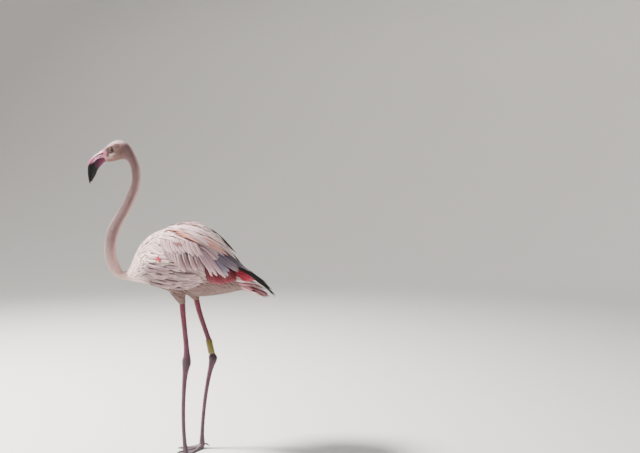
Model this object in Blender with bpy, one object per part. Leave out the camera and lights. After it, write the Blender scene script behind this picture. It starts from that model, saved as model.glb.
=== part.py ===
"""Greater flamingo (Phoenicopterus roseus), an adult hen standing still, life size.

The bird faces -Y, its left side is +X, and it stands on z = 0.  Every piece of the body
is one closed solid: head, two halves of the bill, eyes, three lengths of neck, trunk,
wings, tail, legs, toes and claws, and the plain ring on the right shank.
Side-view sections are written as (upper y, upper z, lower y, lower z, half width) in mm.
"""
import math

import bmesh
import bpy
from mathutils import Matrix, Vector

MM = 0.001
GAP = 0.3 * MM             # clearance where two solids meet
LEG_OUT = 45.0             # each leg stands this far from the middle of the body
EYE_RADIUS = 6.6
EYE_Y, EYE_Z, EYE_OUT = -208.0, 943.0, 16.2
RING_LENGTH = 46.0
RING_INNER, RING_WALL = 9.3, 1.5
WING_LIFT = 6.0            # the right shoulder is carried this much higher
TOE_LENGTHS = (62.0, 80.0, 70.0)      # inner, middle, outer, without the claw
TOE_SPREAD = 31.0          # degrees between neighbouring toes
CLAW_LENGTH = 8.0
HALLUX_TURN, HALLUX_OUT = 161.0, 11.4  # degrees round from the middle toe, distance out

# ---------------------------------------------------------------- sections of the body
HEAD = [
    (-237.0, 942.0, -231.0, 905.0, 11.5),
    (-229.0, 949.5, -222.5, 904.5, 14.5),
    (-219.0, 958.5, -213.0, 904.5, 19.0),
    (-206.0, 967.0, -203.5, 906.5, 22.0),
    (-190.0, 971.5, -193.0, 909.5, 23.5),
    (-173.0, 968.0, -181.0, 912.5, 22.5),
    (-158.0, 957.5, -170.5, 911.5, 20.0),
    (-145.0, 937.0, -162.0, 905.5, 17.0),
    (-133.5, 912.0, -156.5, 896.0, 14.6),
    (-125.5, 889.0, -152.5, 883.5, 13.4),
]
NECK = [
    (-125.5, 889.0, -152.5, 883.5, 13.4),
    (-123.0, 866.0, -151.0, 865.0, 13.0),
    (-123.5, 846.0, -151.5, 845.0, 13.0),
    (-128.5, 820.0, -158.5, 824.0, 13.4),
    (-141.0, 787.0, -172.0, 795.0, 14.0),
    (-155.5, 757.0, -187.0, 766.0, 15.0),
    (-171.5, 729.0, -205.0, 736.0, 15.5),
    (-186.0, 700.0, -224.0, 705.0, 16.0),
    (-197.0, 668.0, -234.0, 670.0, 16.0),
    (-201.0, 640.0, -237.0, 640.0, 16.0),
    (-200.0, 613.0, -234.5, 611.0, 16.0),
    (-194.5, 597.0, -229.0, 589.0, 16.0),
    (-189.0, 583.0, -218.5, 569.0, 16.0),
    (-187.0, 574.0, -206.0, 555.0, 16.0),
    (-182.0, 569.0, -191.0, 545.5, 16.0),
    (-174.0, 568.0, -175.5, 542.5, 17.0),
    (-165.0, 571.0, -160.0, 541.0, 19.0),
]
NECK_CUTS = (0, 5, 9, 16)            # the stations where the neck is divided
TRUNK = [
    (-165.0, 571.0, -160.0, 541.0, 19.0),
    (-154.0, 588.0, -147.0, 539.0, 29.0),
    (-141.0, 618.0, -130.0, 536.0, 45.0),
    (-122.0, 655.0, -105.0, 531.0, 62.0),
    (-88.0, 685.0, -75.0, 521.0, 77.0),
    (-42.0, 701.0, -38.0, 508.0, 87.0),
    (5.0, 706.0, 5.0, 497.0, 90.0),
    (50.0, 698.0, 52.0, 491.0, 87.0),
    (95.0, 668.0, 98.0, 494.0, 75.0),
    (135.0, 624.0, 136.0, 500.0, 57.0),
    (168.0, 577.0, 167.0, 507.0, 39.0),
    (186.0, 556.0, 185.0, 511.0, 31.0),
]
TAIL = [
    (186.4, 556.0, 185.4, 511.0, 31.0),
    (200.0, 545.0, 198.0, 509.0, 34.0),
    (218.0, 534.0, 215.0, 506.0, 36.0),
    (240.0, 521.0, 237.0, 499.0, 35.0),
    (258.0, 508.0, 255.0, 491.0, 30.0),
    (270.0, 497.0, 267.0, 486.5, 20.0),
]
# bill halves: (ridge y, ridge z, gape y, gape z, half width)
UPPER_BILL = [
    (-237.6, 942.4, -234.0, 921.0, 11.0),
    (-248.0, 934.6, -243.5, 920.4, 11.0),
    (-261.0, 926.4, -254.5, 916.0, 11.0),
    (-272.0, 917.4, -262.3, 908.3, 11.0),
    (-280.0, 908.0, -267.8, 900.8, 10.6),
    (-283.6, 896.0, -270.3, 891.8, 10.0),
    (-285.0, 880.0, -272.8, 878.0, 9.0),
    (-284.2, 862.0, -274.8, 861.0, 7.0),
    (-282.0, 847.0, -276.2, 847.0, 4.6),
    (-279.6, 838.0, -277.4, 838.4, 2.2),
]
LOWER_BILL = [
    (-231.9, 905.0, -234.0, 920.4, 11.4),
    (-239.0, 898.0, -243.2, 919.7, 12.6),
    (-247.0, 889.5, -253.9, 915.3, 13.2),
    (-253.5, 881.0, -261.7, 907.7, 13.0),
    (-257.5, 873.0, -267.1, 900.4, 12.0),
    (-260.5, 865.0, -269.6, 891.6, 10.5),
    (-265.0, 857.5, -272.1, 877.9, 8.5),
    (-269.3, 850.5, -274.1, 861.0, 6.0),
    (-272.8, 844.0, -275.5, 847.0, 3.4),
]
# a folded wing: (upper x, y, z, lower x, y, z, half thickness)
WING = [
    (56.0, -116.0, 636.0, 62.0, -108.0, 598.0, 7.0),
    (46.0, -102.0, 664.0, 82.0, -84.0, 574.0, 22.0),
    (32.0, -68.0, 690.0, 92.0, -42.0, 562.0, 33.0),
    (22.0, -18.0, 708.0, 95.0, 10.0, 557.0, 39.0),
    (14.0, 40.0, 714.0, 88.0, 60.0, 554.0, 40.0),
    (10.0, 84.0, 689.0, 76.0, 106.0, 550.0, 36.0),
    (9.0, 121.0, 657.0, 62.0, 144.0, 548.0, 28.0),
    (9.0, 146.0, 616.0, 48.0, 174.0, 547.0, 18.0),
    (10.0, 172.0, 586.0, 36.0, 198.0, 549.0, 10.0),
    (13.0, 205.0, 570.0, 27.0, 218.0, 553.0, 4.0),
]
WING_RISE = (0.0, 0.0, 0.3, 0.8, 1.0, 0.3, 0.0, 0.0, 0.0, 0.0)   # share of WING_LIFT
WING_CUT = 5                        # coverts in front of this station, tertials behind
PRIMARIES = [
    (36.0, 186.0, 562.0, 40.0, 190.0, 549.0, 4.0),
    (30.0, 208.0, 560.0, 35.0, 212.0, 545.0, 4.5),
    (24.0, 232.0, 546.0, 29.0, 233.0, 532.0, 4.0),
    (18.0, 254.0, 530.0, 22.0, 253.0, 519.0, 3.5),
    (13.0, 272.0, 513.0, 16.0, 270.0, 505.0, 2.8),
    (9.0, 285.0, 497.0, 10.0, 283.0, 493.5, 1.6),
]
# legs: (y, z, half depth, half width) down each leg
THIGH = {
    "left": [(-14, 560, 34, 26), (-5, 520, 27, 22), (2, 497, 18, 16), (7, 484, 12.5, 11.5),
             (9.5, 474, 10.3, 9.8)],
    "right": [(0, 560, 34, 26), (15, 520, 27, 22), (27, 497, 18, 16), (34, 484, 12.5, 11.5),
              (38, 474, 10.3, 9.8)],
}
TIBIA = {
    "left": [(9.6, 473.6, 9.4, 8.7), (11.5, 440, 8.4, 7.7), (16, 394, 7.8, 7.3),
             (20, 350, 8.1, 7.6), (21.3, 325, 9.3, 8.3), (21.6, 311, 11.4, 9.7)],
    "right": [(38.2, 473.6, 9.4, 8.7), (45.5, 440, 8.4, 7.7), (60, 394, 7.8, 7.3),
              (75, 350, 7.9, 7.5), (81.6, 325, 8.0, 7.6),
              (84.8, 312, 8.0, 7.7), (86.9, 302, 8.5, 8.1)],
}
TARSUS = {
    "left": [(21.6, 310.6, 11.5, 9.8), (21.0, 300, 13.4, 10.9), (19.8, 288, 12.6, 10.6),
             (17.6, 270, 9.6, 9.0), (14.2, 240, 7.4, 7.2), (11.6, 200, 6.4, 6.4),
             (9.6, 150, 6.1, 6.1), (10.2, 90, 6.0, 6.0), (13.2, 45, 6.4, 6.5),
             (15.2, 28, 8.2, 8.2), (15.8, 19, 8.8, 8.8)],
    "right": [(87.0, 301.6, 8.7, 8.3), (88.4, 293, 13.2, 10.9), (87.8, 282, 12.4, 10.6),
              (83.6, 265, 9.4, 8.8), (77.2, 240, 7.4, 7.2), (69.4, 200, 6.4, 6.4),
              (61.8, 150, 6.1, 6.1), (55.6, 90, 6.0, 6.0), (52.8, 45, 6.4, 6.5),
              (52.6, 28, 8.2, 8.2), (52.6, 19, 8.8, 8.8)],
}
FOOT = {"left": (15.8, -4.0), "right": (52.6, 34.0)}    # y of the foot joint, turn inwards

# ---------------------------------------------------------------- looks
PALE = (0.80, 0.71, 0.70)
COVERT = (0.66, 0.52, 0.53)
LEG_SKIN = (0.55, 0.24, 0.30)
HORN_BLACK = (0.025, 0.024, 0.028)


def collection(name):
    made = bpy.data.collections.new(name)
    bpy.context.scene.collection.children.link(made)
    return made


def material(name, colour, roughness, metallic=0.0):
    made = bpy.data.materials.new(name)
    made.use_nodes = True
    shader = made.node_tree.nodes["Principled BSDF"]
    shader.inputs["Base Color"].default_value = (*colour, 1.0)
    shader.inputs["Roughness"].default_value = roughness
    shader.inputs["Metallic"].default_value = metallic
    return made


def spline(stations, steps):
    """Passes a smooth curve (Catmull-Rom) through rows of numbers, `steps` rows a span."""
    rows = []
    last = len(stations) - 1
    for i in range(last):
        a = stations[max(i - 1, 0)]
        b, c = stations[i], stations[i + 1]
        d = stations[min(i + 2, last)]
        for k in range(steps):
            t = k / steps
            rows.append([0.5 * (2 * q + (r - p) * t + (2 * p - 5 * q + 4 * r - s) * t * t
                                + (3 * q - p - 3 * r + s) * t ** 3)
                         for p, q, r, s in zip(a, b, c, d)])
    rows.append(list(stations[last]))
    return rows


def ring(centre, up, across, sides, half=False):
    """One section: an ellipse, or with `half` the upper half of it on a flat base."""
    count = sides + 1 if half else sides
    turn = math.pi if half else 2 * math.pi
    start = -math.pi / 2 if half else 0.0
    return [centre + up * math.cos(start + turn * k / sides)
            + across * math.sin(start + turn * k / sides) for k in range(count)]


def loft(name, rings, mat, group, trim=(0.0, 0.0)):
    """Joins rings into one closed body; `trim` draws the two ends in by that much."""
    rings = [[Vector(p) for p in r] for r in rings]
    for end, inner, amount in ((0, 1, trim[0]), (-1, -2, trim[1])):
        if amount:
            a = sum(rings[end], Vector()) / len(rings[end])
            b = sum(rings[inner], Vector()) / len(rings[inner])
            step = (b - a).normalized() * amount
            rings[end] = [p + step for p in rings[end]]
    bm = bmesh.new()
    rows = [[bm.verts.new(p * MM) for p in r] for r in rings]
    n = len(rows[0])
    for one, two in zip(rows, rows[1:]):
        for k in range(n):
            bm.faces.new((one[k], one[(k + 1) % n], two[(k + 1) % n], two[k]))
    bm.faces.new(rows[0])
    bm.faces.new(rows[-1])
    bmesh.ops.recalc_face_normals(bm, faces=bm.faces)
    bmesh.ops.triangulate(bm, faces=[f for f in bm.faces if len(f.verts) > 4])
    mesh = bpy.data.meshes.new(name)
    bm.to_mesh(mesh)
    bm.free()
    obj = bpy.data.objects.new(name, mesh)
    group.objects.link(obj)
    if mat:
        mesh.materials.append(mat)
    mesh.shade_smooth()
    return obj


def pair_rings(stations, steps, sides, grow=0.0, half=False):
    """Sections held by an upper and a lower point in the middle plane of the bird."""
    made = []
    for y1, z1, y2, z2, w in spline(stations, steps):
        top, low = Vector((0, y1, z1)), Vector((0, y2, z2))
        if half:
            up, centre = top - low, low
        else:
            up, centre = (top - low) / 2, (top + low) / 2
        up = up + up.normalized() * grow
        made.append(ring(centre, up, Vector((w + grow, 0, 0)), sides, half))
    return made


def panel_rings(stations, steps, sides, side, lift=None, grow=0.0):
    """Sections of a folded wing, lens-shaped between an upper and a lower edge."""
    rows = spline(stations, steps)
    rise = spline([(v,) for v in WING_RISE], steps) if lift else None
    tops = [Vector(r[0:3]) for r in rows]
    lows = [Vector(r[3:6]) for r in rows]
    if lift:
        for k in range(len(rows)):
            tops[k].z += lift * rise[k][0]
            lows[k].z += 0.35 * lift * rise[k][0]
    made = []
    for k, r in enumerate(rows):
        before, after = max(k - 1, 0), min(k + 1, len(rows) - 1)
        along = (tops[after] + lows[after] - tops[before] - lows[before]).normalized()
        up = (tops[k] - lows[k]) / 2
        out = up.cross(along).normalized()
        if out.x < 0:
            out = -out
        up = up + up.normalized() * grow
        pts = ring((tops[k] + lows[k]) / 2, up, out * (r[6] + grow), sides)
        for p in pts:
            p.x = max(p.x, 0.2)
            p.x *= side
        made.append(pts)
    return made


def leg_rings(stations, steps, sides, x):
    """Sections across a leg that leans only in the side view."""
    rows = spline(stations, steps)
    made = []
    for k, (y, z, depth, width) in enumerate(rows):
        before, after = rows[max(k - 1, 0)], rows[min(k + 1, len(rows) - 1)]
        along = Vector((0, after[0] - before[0], after[1] - before[1])).normalized()
        if k in (0, len(rows) - 1):       # the ends are level, so that lengths meet
            along = Vector((0, 0, -1))
        made.append(ring(Vector((x, y, z)), Vector((0, along.z, -along.y)) * depth,
                         Vector((width, 0, 0)), sides))
    return made


def tube_rings(points, sides):
    """Sections along a free path of (point, half height, half width)."""
    made = []
    for k, (p, high, wide) in enumerate(points):
        before, after = points[max(k - 1, 0)][0], points[min(k + 1, len(points) - 1)][0]
        along = (after - before).normalized()
        across = along.cross(Vector((0, 0, 1))).normalized()
        up = across.cross(along).normalized()
        made.append(ring(p, up * high, across * wide, sides))
    return made


def cutter(obj):
    obj.hide_render = True
    obj.display_type = "WIRE"
    return obj


def boolean(obj, other, operation):
    step = obj.modifiers.new(operation.lower(), "BOOLEAN")
    step.operation = operation
    step.solver = "EXACT"
    step.object = other


def foot(side, x, group, cutters, mats):
    """Three webbed front toes, their claws, and the small raised hind toe."""
    joint_y, turn = FOOT[side]
    sign = 1 if side == "left" else -1
    joint = Vector((x, joint_y, 0))
    tips, paths = [], []
    for k, length in enumerate(TOE_LENGTHS):
        # k = 0 is the inner toe, which points towards the middle of the bird
        angle = math.radians(turn + TOE_SPREAD * (1 - k))
        way = Vector((-sign * math.sin(angle), -math.cos(angle), 0))
        side_toe = 0.0 if k == 1 else 1.0 + 0.4 * k
        profile = [(-2.0 + side_toe, 12.8 - side_toe, 4.8, 6.0), (7, 10.2, 5.6, 6.4),
                   (15, 7.0, 5.4, 5.9), (26, 4.6, 4.9, 5.2), (length * 0.55, 3.8, 4.1, 4.5),
                   (length * 0.8, 3.2, 3.5, 3.8), (length, 2.7, 2.8, 3.1)]
        path = [(joint + way * s + Vector((0, 0, z)), h, w)
                for s, z, h, w in profile]
        paths.append(path)
        tips.append((joint + way * length, way))
    toes = [loft(f"foot_{side}" if k == 1 else f"toe_{side}_{k}", tube_rings(p, 8),
                 mats["leg"], group if k == 1 else cutters) for k, p in enumerate(paths)]
    body = toes[1]
    # the web: two sails between the toes, each with a hollowed front edge
    rim = []
    for k in (0, 1):
        way_a, way_b = tips[k][1], tips[k + 1][1]
        a, b = TOE_LENGTHS[k] * 0.9, TOE_LENGTHS[k + 1] * 0.9
        for j in range(k, 9):
            t = j / 8
            reach = (a + (b - a) * t) * (1 - 0.2 * math.sin(math.pi * t))
            rim.append(joint + way_a.lerp(way_b, t).normalized() * reach)
    rim.append(joint - tips[1][1] * 1.5)
    web = loft(f"web_{side}", [[p + Vector((0, 0, z)) for p in rim] for z in (0.9, 3.1)],
               None, cutters)
    boolean(body, cutter(web), "UNION")
    for k in (0, 2):
        boolean(body, cutter(toes[k]), "UNION")
    heel = loft(f"heel_{side}", leg_rings(
        [(joint_y, 18.6, 8.7, 8.7), (joint_y - 0.3, 13, 9.3, 9.2),
         (joint_y - 2, 6, 8.4, 8.9), (joint_y - 3, -1.5, 7.0, 7.8)], 2, 13, x), None, cutters)
    boolean(body, cutter(heel), "UNION")
    boolean(body, mats["floor"], "DIFFERENCE")
    for k, (tip, way) in enumerate(tips):
        claw = [(tip + way * s + Vector((0, 0, z)), h, w)
                for s, z, h, w in ((0.4, 2.9, 2.0, 2.3), (3.5, 2.9, 1.9, 2.2),
                                   (CLAW_LENGTH, 1.5, 0.8, 0.9))]
        loft(f"claw_{side}_{('inner', 'middle', 'outer')[k]}", tube_rings(claw, 8),
             mats["claw"], group)
    behind = math.radians(turn + HALLUX_TURN)
    back = Vector((-sign * math.sin(behind), -math.cos(behind), 0))
    start = joint + back * HALLUX_OUT
    hind = [(start + back * s + Vector((0, 0, z)), h, w)
            for s, z, h, w in ((0, 14.5, 2.9, 2.9), (4, 12.2, 2.9, 2.9), (8, 9.2, 2.4, 2.5))]
    loft(f"hallux_{side}", tube_rings(hind, 8), mats["leg"], group)
    nail = [(start + back * s + Vector((0, 0, z)), h, w)
            for s, z, h, w in ((8.5, 8.8, 1.9, 1.9), (10.8, 6.8, 1.5, 1.5),
                               (12.8, 4.6, 0.6, 0.6))]
    loft(f"hallux_claw_{side}", tube_rings(nail, 8), mats["claw"], group)


def main():
    for obj in list(bpy.data.objects):
        bpy.data.objects.remove(obj, do_unlink=True)
    parts = collection("flamingo")
    cutters = collection("cutters")
    feathers = material("feathers pale", PALE, 0.75)
    coverts = material("feathers grey pink", COVERT, 0.7)
    head_mat = material("feathers head", (0.75, 0.60, 0.60), 0.75)
    pink = material("bill pink", (0.72, 0.36, 0.44), 0.35)
    deep = material("bill deep pink", (0.45, 0.10, 0.22), 0.38)
    black = material("flight feathers black", HORN_BLACK, 0.6)
    legs = material("leg skin", LEG_SKIN, 0.5)
    claws = material("claw horn", (0.08, 0.06, 0.07), 0.45)
    eyes = material("eye", (0.35, 0.27, 0.12), 0.08)
    band = material("ring plastic", (0.80, 0.62, 0.03), 0.35)

    # head, with a socket for each eye
    head = loft("head", pair_rings(HEAD, 2, 17), head_mat, parts, (GAP / MM, GAP / MM))
    for side, sign in (("left", 1), ("right", -1)):
        for name, radius, group in ((f"eye_{side}", EYE_RADIUS, parts),
                                    (f"socket_{side}", EYE_RADIUS + GAP / MM, cutters)):
            bm = bmesh.new()
            bmesh.ops.create_uvsphere(bm, u_segments=10, v_segments=8, radius=radius * MM,
                                      matrix=Matrix.Translation(
                                          Vector((sign * EYE_OUT, EYE_Y, EYE_Z)) * MM)
                                      @ Matrix.Rotation(math.radians(90), 4, "Y"))
            mesh = bpy.data.meshes.new(name)
            bm.to_mesh(mesh)
            bm.free()
            mesh.materials.append(eyes)
            mesh.shade_smooth()
            obj = bpy.data.objects.new(name, mesh)
            group.objects.link(obj)
            if group is cutters:
                boolean(head, cutter(obj), "DIFFERENCE")
    loft("upper_bill", pair_rings(UPPER_BILL, 2, 9, half=True), pink, parts)
    loft("lower_bill", pair_rings(LOWER_BILL, 2, 9, half=True), deep, parts)

    # neck, in three lengths
    neck = pair_rings(NECK, 2, 13)
    for k, name in enumerate(("neck_upper", "neck_middle", "neck_lower")):
        rows = neck[NECK_CUTS[k] * 2:NECK_CUTS[k + 1] * 2 + 1]
        loft(name, rows, feathers, parts, (GAP / MM, 0.0))

    # trunk and tail
    loft("trunk", pair_rings(TRUNK, 2, 20), feathers, parts, (GAP / MM, 0.0))
    trunk_room = cutter(loft("trunk_room", pair_rings(TRUNK, 2, 20, GAP / MM), None, cutters))
    loft("tail", pair_rings(TAIL, 2, 14), feathers, parts)
    tail_room = cutter(loft("tail_room", pair_rings(TAIL, 2, 14, GAP / MM), None, cutters))

    for side, sign in (("left", 1), ("right", -1)):
        lift = WING_LIFT if side == "right" else None
        rows = panel_rings(WING, 2, 14, sign, lift)
        split = WING_CUT * 2
        for name, piece, trim in ((f"wing_{side}", rows[:split + 1], (0.0, 0.0)),
                                  (f"tertials_{side}", rows[split:], (GAP / MM, 0.0))):
            obj = loft(name, piece, coverts, parts, trim)
            boolean(obj, trunk_room, "DIFFERENCE")
            if name.startswith("tertials"):
                boolean(obj, tail_room, "DIFFERENCE")
        wing_room = cutter(loft(f"wing_room_{side}",
                                panel_rings(WING, 2, 14, sign, lift, 2 * GAP / MM),
                                None, cutters))
        quills = loft(f"primaries_{side}", panel_rings(PRIMARIES, 1, 10, sign), black, parts)
        for room in (wing_room, trunk_room, tail_room):
            boolean(quills, room, "DIFFERENCE")

    # legs and feet
    floor = bpy.data.meshes.new("floor_room")
    bm = bmesh.new()
    bmesh.ops.create_cube(bm, size=1.0)
    bmesh.ops.scale(bm, vec=(1.0, 1.0, 0.2), verts=bm.verts)
    bmesh.ops.translate(bm, vec=(0, 0, -0.1), verts=bm.verts)
    bm.to_mesh(floor)
    bm.free()
    floor_room = bpy.data.objects.new("floor_room", floor)
    cutters.objects.link(floor_room)
    cutter(floor_room)
    mats = {"leg": legs, "claw": claws, "floor": floor_room}
    for side, sign in (("left", 1), ("right", -1)):
        x = sign * LEG_OUT
        thigh = loft(f"thigh_{side}", leg_rings(THIGH[side], 2, 12, x), feathers, parts)
        boolean(thigh, trunk_room, "DIFFERENCE")
        loft(f"tibia_{side}", leg_rings(TIBIA[side], 2, 10, x), legs, parts)
        loft(f"tarsus_{side}", leg_rings(TARSUS[side], 2, 10, x), legs, parts)
        foot(side, x, parts, cutters, mats)

    # the plain ring just above the right ankle, a short tube that follows the shank
    low, high = Vector((-LEG_OUT, 86.5, 304.2)), Vector((-LEG_OUT, 75.6, 348.0))
    axis = (high - low).normalized()
    rows = []
    for s, r in ((0.0, RING_INNER), (0.0, RING_INNER + RING_WALL + 0.5),
                 (1.5, RING_INNER + RING_WALL + 0.5), (4.0, RING_INNER + RING_WALL),
                 (RING_LENGTH, RING_INNER + RING_WALL), (RING_LENGTH, RING_INNER)):
        rows.append([low + axis * s + Vector((0, axis.z, -axis.y)) * r * math.cos(a)
                     + Vector((r * math.sin(a), 0, 0))
                     for a in (2 * math.pi * k / 20 for k in range(20))])
    bm = bmesh.new()
    rows = [[bm.verts.new(p * MM) for p in r] for r in rows]
    for k in range(len(rows)):
        one, two = rows[k], rows[(k + 1) % len(rows)]
        for j in range(20):
            bm.faces.new((one[j], one[(j + 1) % 20], two[(j + 1) % 20], two[j]))
    bmesh.ops.recalc_face_normals(bm, faces=bm.faces)
    mesh = bpy.data.meshes.new("leg_ring")
    bm.to_mesh(mesh)
    bm.free()
    mesh.materials.append(band)
    obj = bpy.data.objects.new("leg_ring", mesh)
    parts.objects.link(obj)


main()
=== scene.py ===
# %% [markdown]
# # A greater flamingo, standing
# A life-size still model of an adult greater flamingo.  The solids that come with the frame
# give its outline.  This lesson grows one skin from them, lays the feathers over it, and
# then makes the bill, eyes, scaly legs, claws and the plain leg ring.

# %% Load the frame
import math

import bmesh
import bpy
import numpy as np
from bmesh.types import BMEdge, BMFace, BMVert
from mathutils import Matrix, Vector
from mathutils.bvhtree import BVHTree


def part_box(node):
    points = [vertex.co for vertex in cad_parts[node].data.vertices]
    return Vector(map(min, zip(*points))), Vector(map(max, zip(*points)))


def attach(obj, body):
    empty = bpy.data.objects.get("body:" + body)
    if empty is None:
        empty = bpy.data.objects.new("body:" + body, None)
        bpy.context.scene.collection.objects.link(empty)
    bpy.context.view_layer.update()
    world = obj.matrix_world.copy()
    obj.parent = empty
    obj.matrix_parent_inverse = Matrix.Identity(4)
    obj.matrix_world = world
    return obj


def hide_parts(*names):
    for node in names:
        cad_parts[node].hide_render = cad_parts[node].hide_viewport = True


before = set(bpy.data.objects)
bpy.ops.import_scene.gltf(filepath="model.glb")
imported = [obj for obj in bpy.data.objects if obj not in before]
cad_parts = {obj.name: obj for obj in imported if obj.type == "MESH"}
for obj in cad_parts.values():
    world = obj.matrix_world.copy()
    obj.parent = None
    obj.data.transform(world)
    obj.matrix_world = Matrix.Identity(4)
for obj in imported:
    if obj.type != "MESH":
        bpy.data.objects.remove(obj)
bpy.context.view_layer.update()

MM = 0.001
SIDES = {1: "left", -1: "right"}      # the bird's left side is +X

# %% [markdown]
# ## Small helpers
# Colours are written as the sRGB hex values that paint charts use, and one function turns
# them to the linear values that Blender works in.  Another adds a shader node with its
# settings and its links in one call, so that a material reads as a short recipe.

# %% Colours, nodes and materials
def linear(code):
    """The linear colour of an sRGB hex value."""
    parts = [int(code[i:i + 2], 16) / 255 for i in (1, 3, 5)]
    return np.array([c / 12.92 if c <= 0.04045 else ((c + 0.055) / 1.055) ** 2.4
                     for c in parts])


def add(tree, kind, links=None, **settings):
    """Adds a node; `links` maps an input's name or number to a socket or a value."""
    made = tree.nodes.new("ShaderNode" + kind)
    for key, value in settings.items():
        setattr(made, key, value)
    for key, value in (links or {}).items():
        if isinstance(value, bpy.types.NodeSocket):
            tree.links.new(value, made.inputs[key])
        else:
            made.inputs[key].default_value = value
    return made


def start_material(name, **sockets):
    """An empty material with a Principled shader whose sockets are set by name."""
    made = bpy.data.materials.new(name)
    made.use_nodes = True
    tree = made.node_tree
    shader = tree.nodes["Principled BSDF"]
    for key, value in sockets.items():
        shader.inputs[key.replace("_", " ")].default_value = value
    return made, tree, shader


def rgba(code):
    return (*linear(code), 1.0)


# %% Ending a bmesh
def only(kind, geometry):
    """The vertices, edges or faces among what an operator made."""
    return [g for g in geometry if isinstance(g, kind)]


def mesh_from(bm, name):
    """The mesh of a bmesh, which is freed."""
    mesh = bpy.data.meshes.new(name)
    bm.to_mesh(mesh)
    bm.free()
    return mesh


def smooth(mesh):
    mesh.polygons.foreach_set("use_smooth", [True] * len(mesh.polygons))


# %% [markdown]
# ## Camera and light
# The bird is seen square from its left side, from a little above its back.  The studio has
# a pale floor that curves up into a pale wall all round, a soft key light ahead of it and
# above, and a weak fill, so that the feathers' relief shows without hard shadows.

# %% Camera
EYE_HEIGHT, DISTANCE, ALONG = 0.8187, 2.3793, 0.4265      # in metres
DOWNWARDS = 2.6965                                        # in degrees
camera_data = bpy.data.cameras.new("view")
camera_data.sensor_width, camera_data.lens = 36.0, 43.59375
camera = bpy.data.objects.new("view", camera_data)
camera.location = (DISTANCE, ALONG, EYE_HEIGHT)
camera.rotation_euler = (math.radians(90 - DOWNWARDS), 0.0, math.radians(90))
bpy.context.scene.collection.objects.link(camera)
bpy.context.scene.camera = camera
print("lens", round(camera_data.lens, 2), "mm")


# %% Lights and floor
def softbox(name, place, target, size, watts, colour):
    data = bpy.data.lights.new(name, "AREA")
    data.shape, data.size, data.energy = "DISK", size, watts
    data.color = linear(colour)
    lamp = bpy.data.objects.new(name, data)
    lamp.location = place
    aim = Vector(target) - Vector(place)
    lamp.rotation_euler = aim.to_track_quat("-Z", "Y").to_euler()
    bpy.context.scene.collection.objects.link(lamp)


softbox("key", (0.0, -1.9, 2.9), (0.0, -0.05, 0.6), 0.7, 540.0, "#FFFAF5")
softbox("fill", (3.0, 1.0, 1.5), (0.0, 0.0, 0.6), 2.2, 9.0, "#F5F7FF")
softbox("rim", (-2.0, -1.2, 2.2), (0.0, 0.0, 0.7), 1.2, 60.0, "#FFFFFF")
world = bpy.data.worlds.new("studio")
world.use_nodes = True
sky = world.node_tree.nodes["Background"].inputs
sky["Color"].default_value, sky["Strength"].default_value = rgba("#E9EBEE"), 0.20
bpy.context.scene.world = world

FLOOR_RADIUS, WALL_HEIGHT, SWEEP_RADIUS = 6.5, 4.2, 2.4
bm = bmesh.new()
bmesh.ops.create_circle(bm, cap_ends=True, segments=96, radius=FLOOR_RADIUS)
wall_foot = bm.edges[:]
raised = bmesh.ops.extrude_edge_only(bm, edges=wall_foot)["geom"]
bmesh.ops.translate(bm, vec=(0, 0, WALL_HEIGHT), verts=only(BMVert, raised))
bmesh.ops.bevel(bm, geom=wall_foot, offset=SWEEP_RADIUS, segments=16, affect="EDGES",
                profile=0.5, material=-1)
bmesh.ops.recalc_face_normals(bm, faces=bm.faces)
if max(bm.faces, key=lambda f: f.calc_area()).normal.z < 0:
    bmesh.ops.reverse_faces(bm, faces=bm.faces)
floor_mesh = mesh_from(bm, "studio_floor")
smooth(floor_mesh)
studio_floor = bpy.data.objects.new("studio_floor", floor_mesh)
bpy.context.scene.collection.objects.link(studio_floor)
floor_paint = start_material("matt studio paint", Roughness=0.8,
                             Base_Color=rgba("#DEDDDA"))[0]
floor_mesh.materials.append(floor_paint)
print("floor faces", len(floor_mesh.polygons))

# %% [markdown]
# ## One surface for the whole bird
# The solids are divided where a body is named, but a bird has no seams there.  A voxel
# remesh is the quickest way to make one closed surface of many touching solids: the copies
# swell a little so that they overlap, the remesh joins them, and a few smoothing passes
# take out the facets.  The feathered body and the bare legs are remeshed apart, because
# the web between the toes is thin and needs smaller voxels.

# %% Join copies of the solids into one closed mesh
FEATHERED = ["head", "neck_upper", "neck_middle", "neck_lower", "trunk", "tail"] + [
    f"{part}_{label}" for label in SIDES.values() for part in ("wing", "tertials", "thigh")]
BARE = [f"{part}_{label}" for label in SIDES.values()
        for part in ("tibia", "tarsus", "foot", "hallux")]


def joined_copy(names, grow):
    """A mesh of the named solids' copies, each swollen by `grow` metres."""
    whole = bmesh.new()
    for name in names:
        part = bmesh.new()
        part.from_mesh(bpy.data.objects[name].data)
        bmesh.ops.remove_doubles(part, verts=part.verts, dist=2e-6)
        part.normal_update()
        for v in part.verts:
            v.co += v.normal * grow
        copy = mesh_from(part, "copy")
        whole.from_mesh(copy)
        bpy.data.meshes.remove(copy)
    return mesh_from(whole, "joined")


def evaluated(mesh, *steps):
    """The mesh that a stack of (kind, settings) modifiers makes of it."""
    obj = bpy.data.objects.new("work", mesh)
    bpy.context.scene.collection.objects.link(obj)
    for kind, settings in steps:
        step = obj.modifiers.new(kind.lower(), kind)
        for key, value in settings.items():
            setattr(step, key, value)
    graph = bpy.context.evaluated_depsgraph_get()
    made = bpy.data.meshes.new_from_object(obj.evaluated_get(graph))
    bpy.data.objects.remove(obj, do_unlink=True)
    return made


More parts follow.
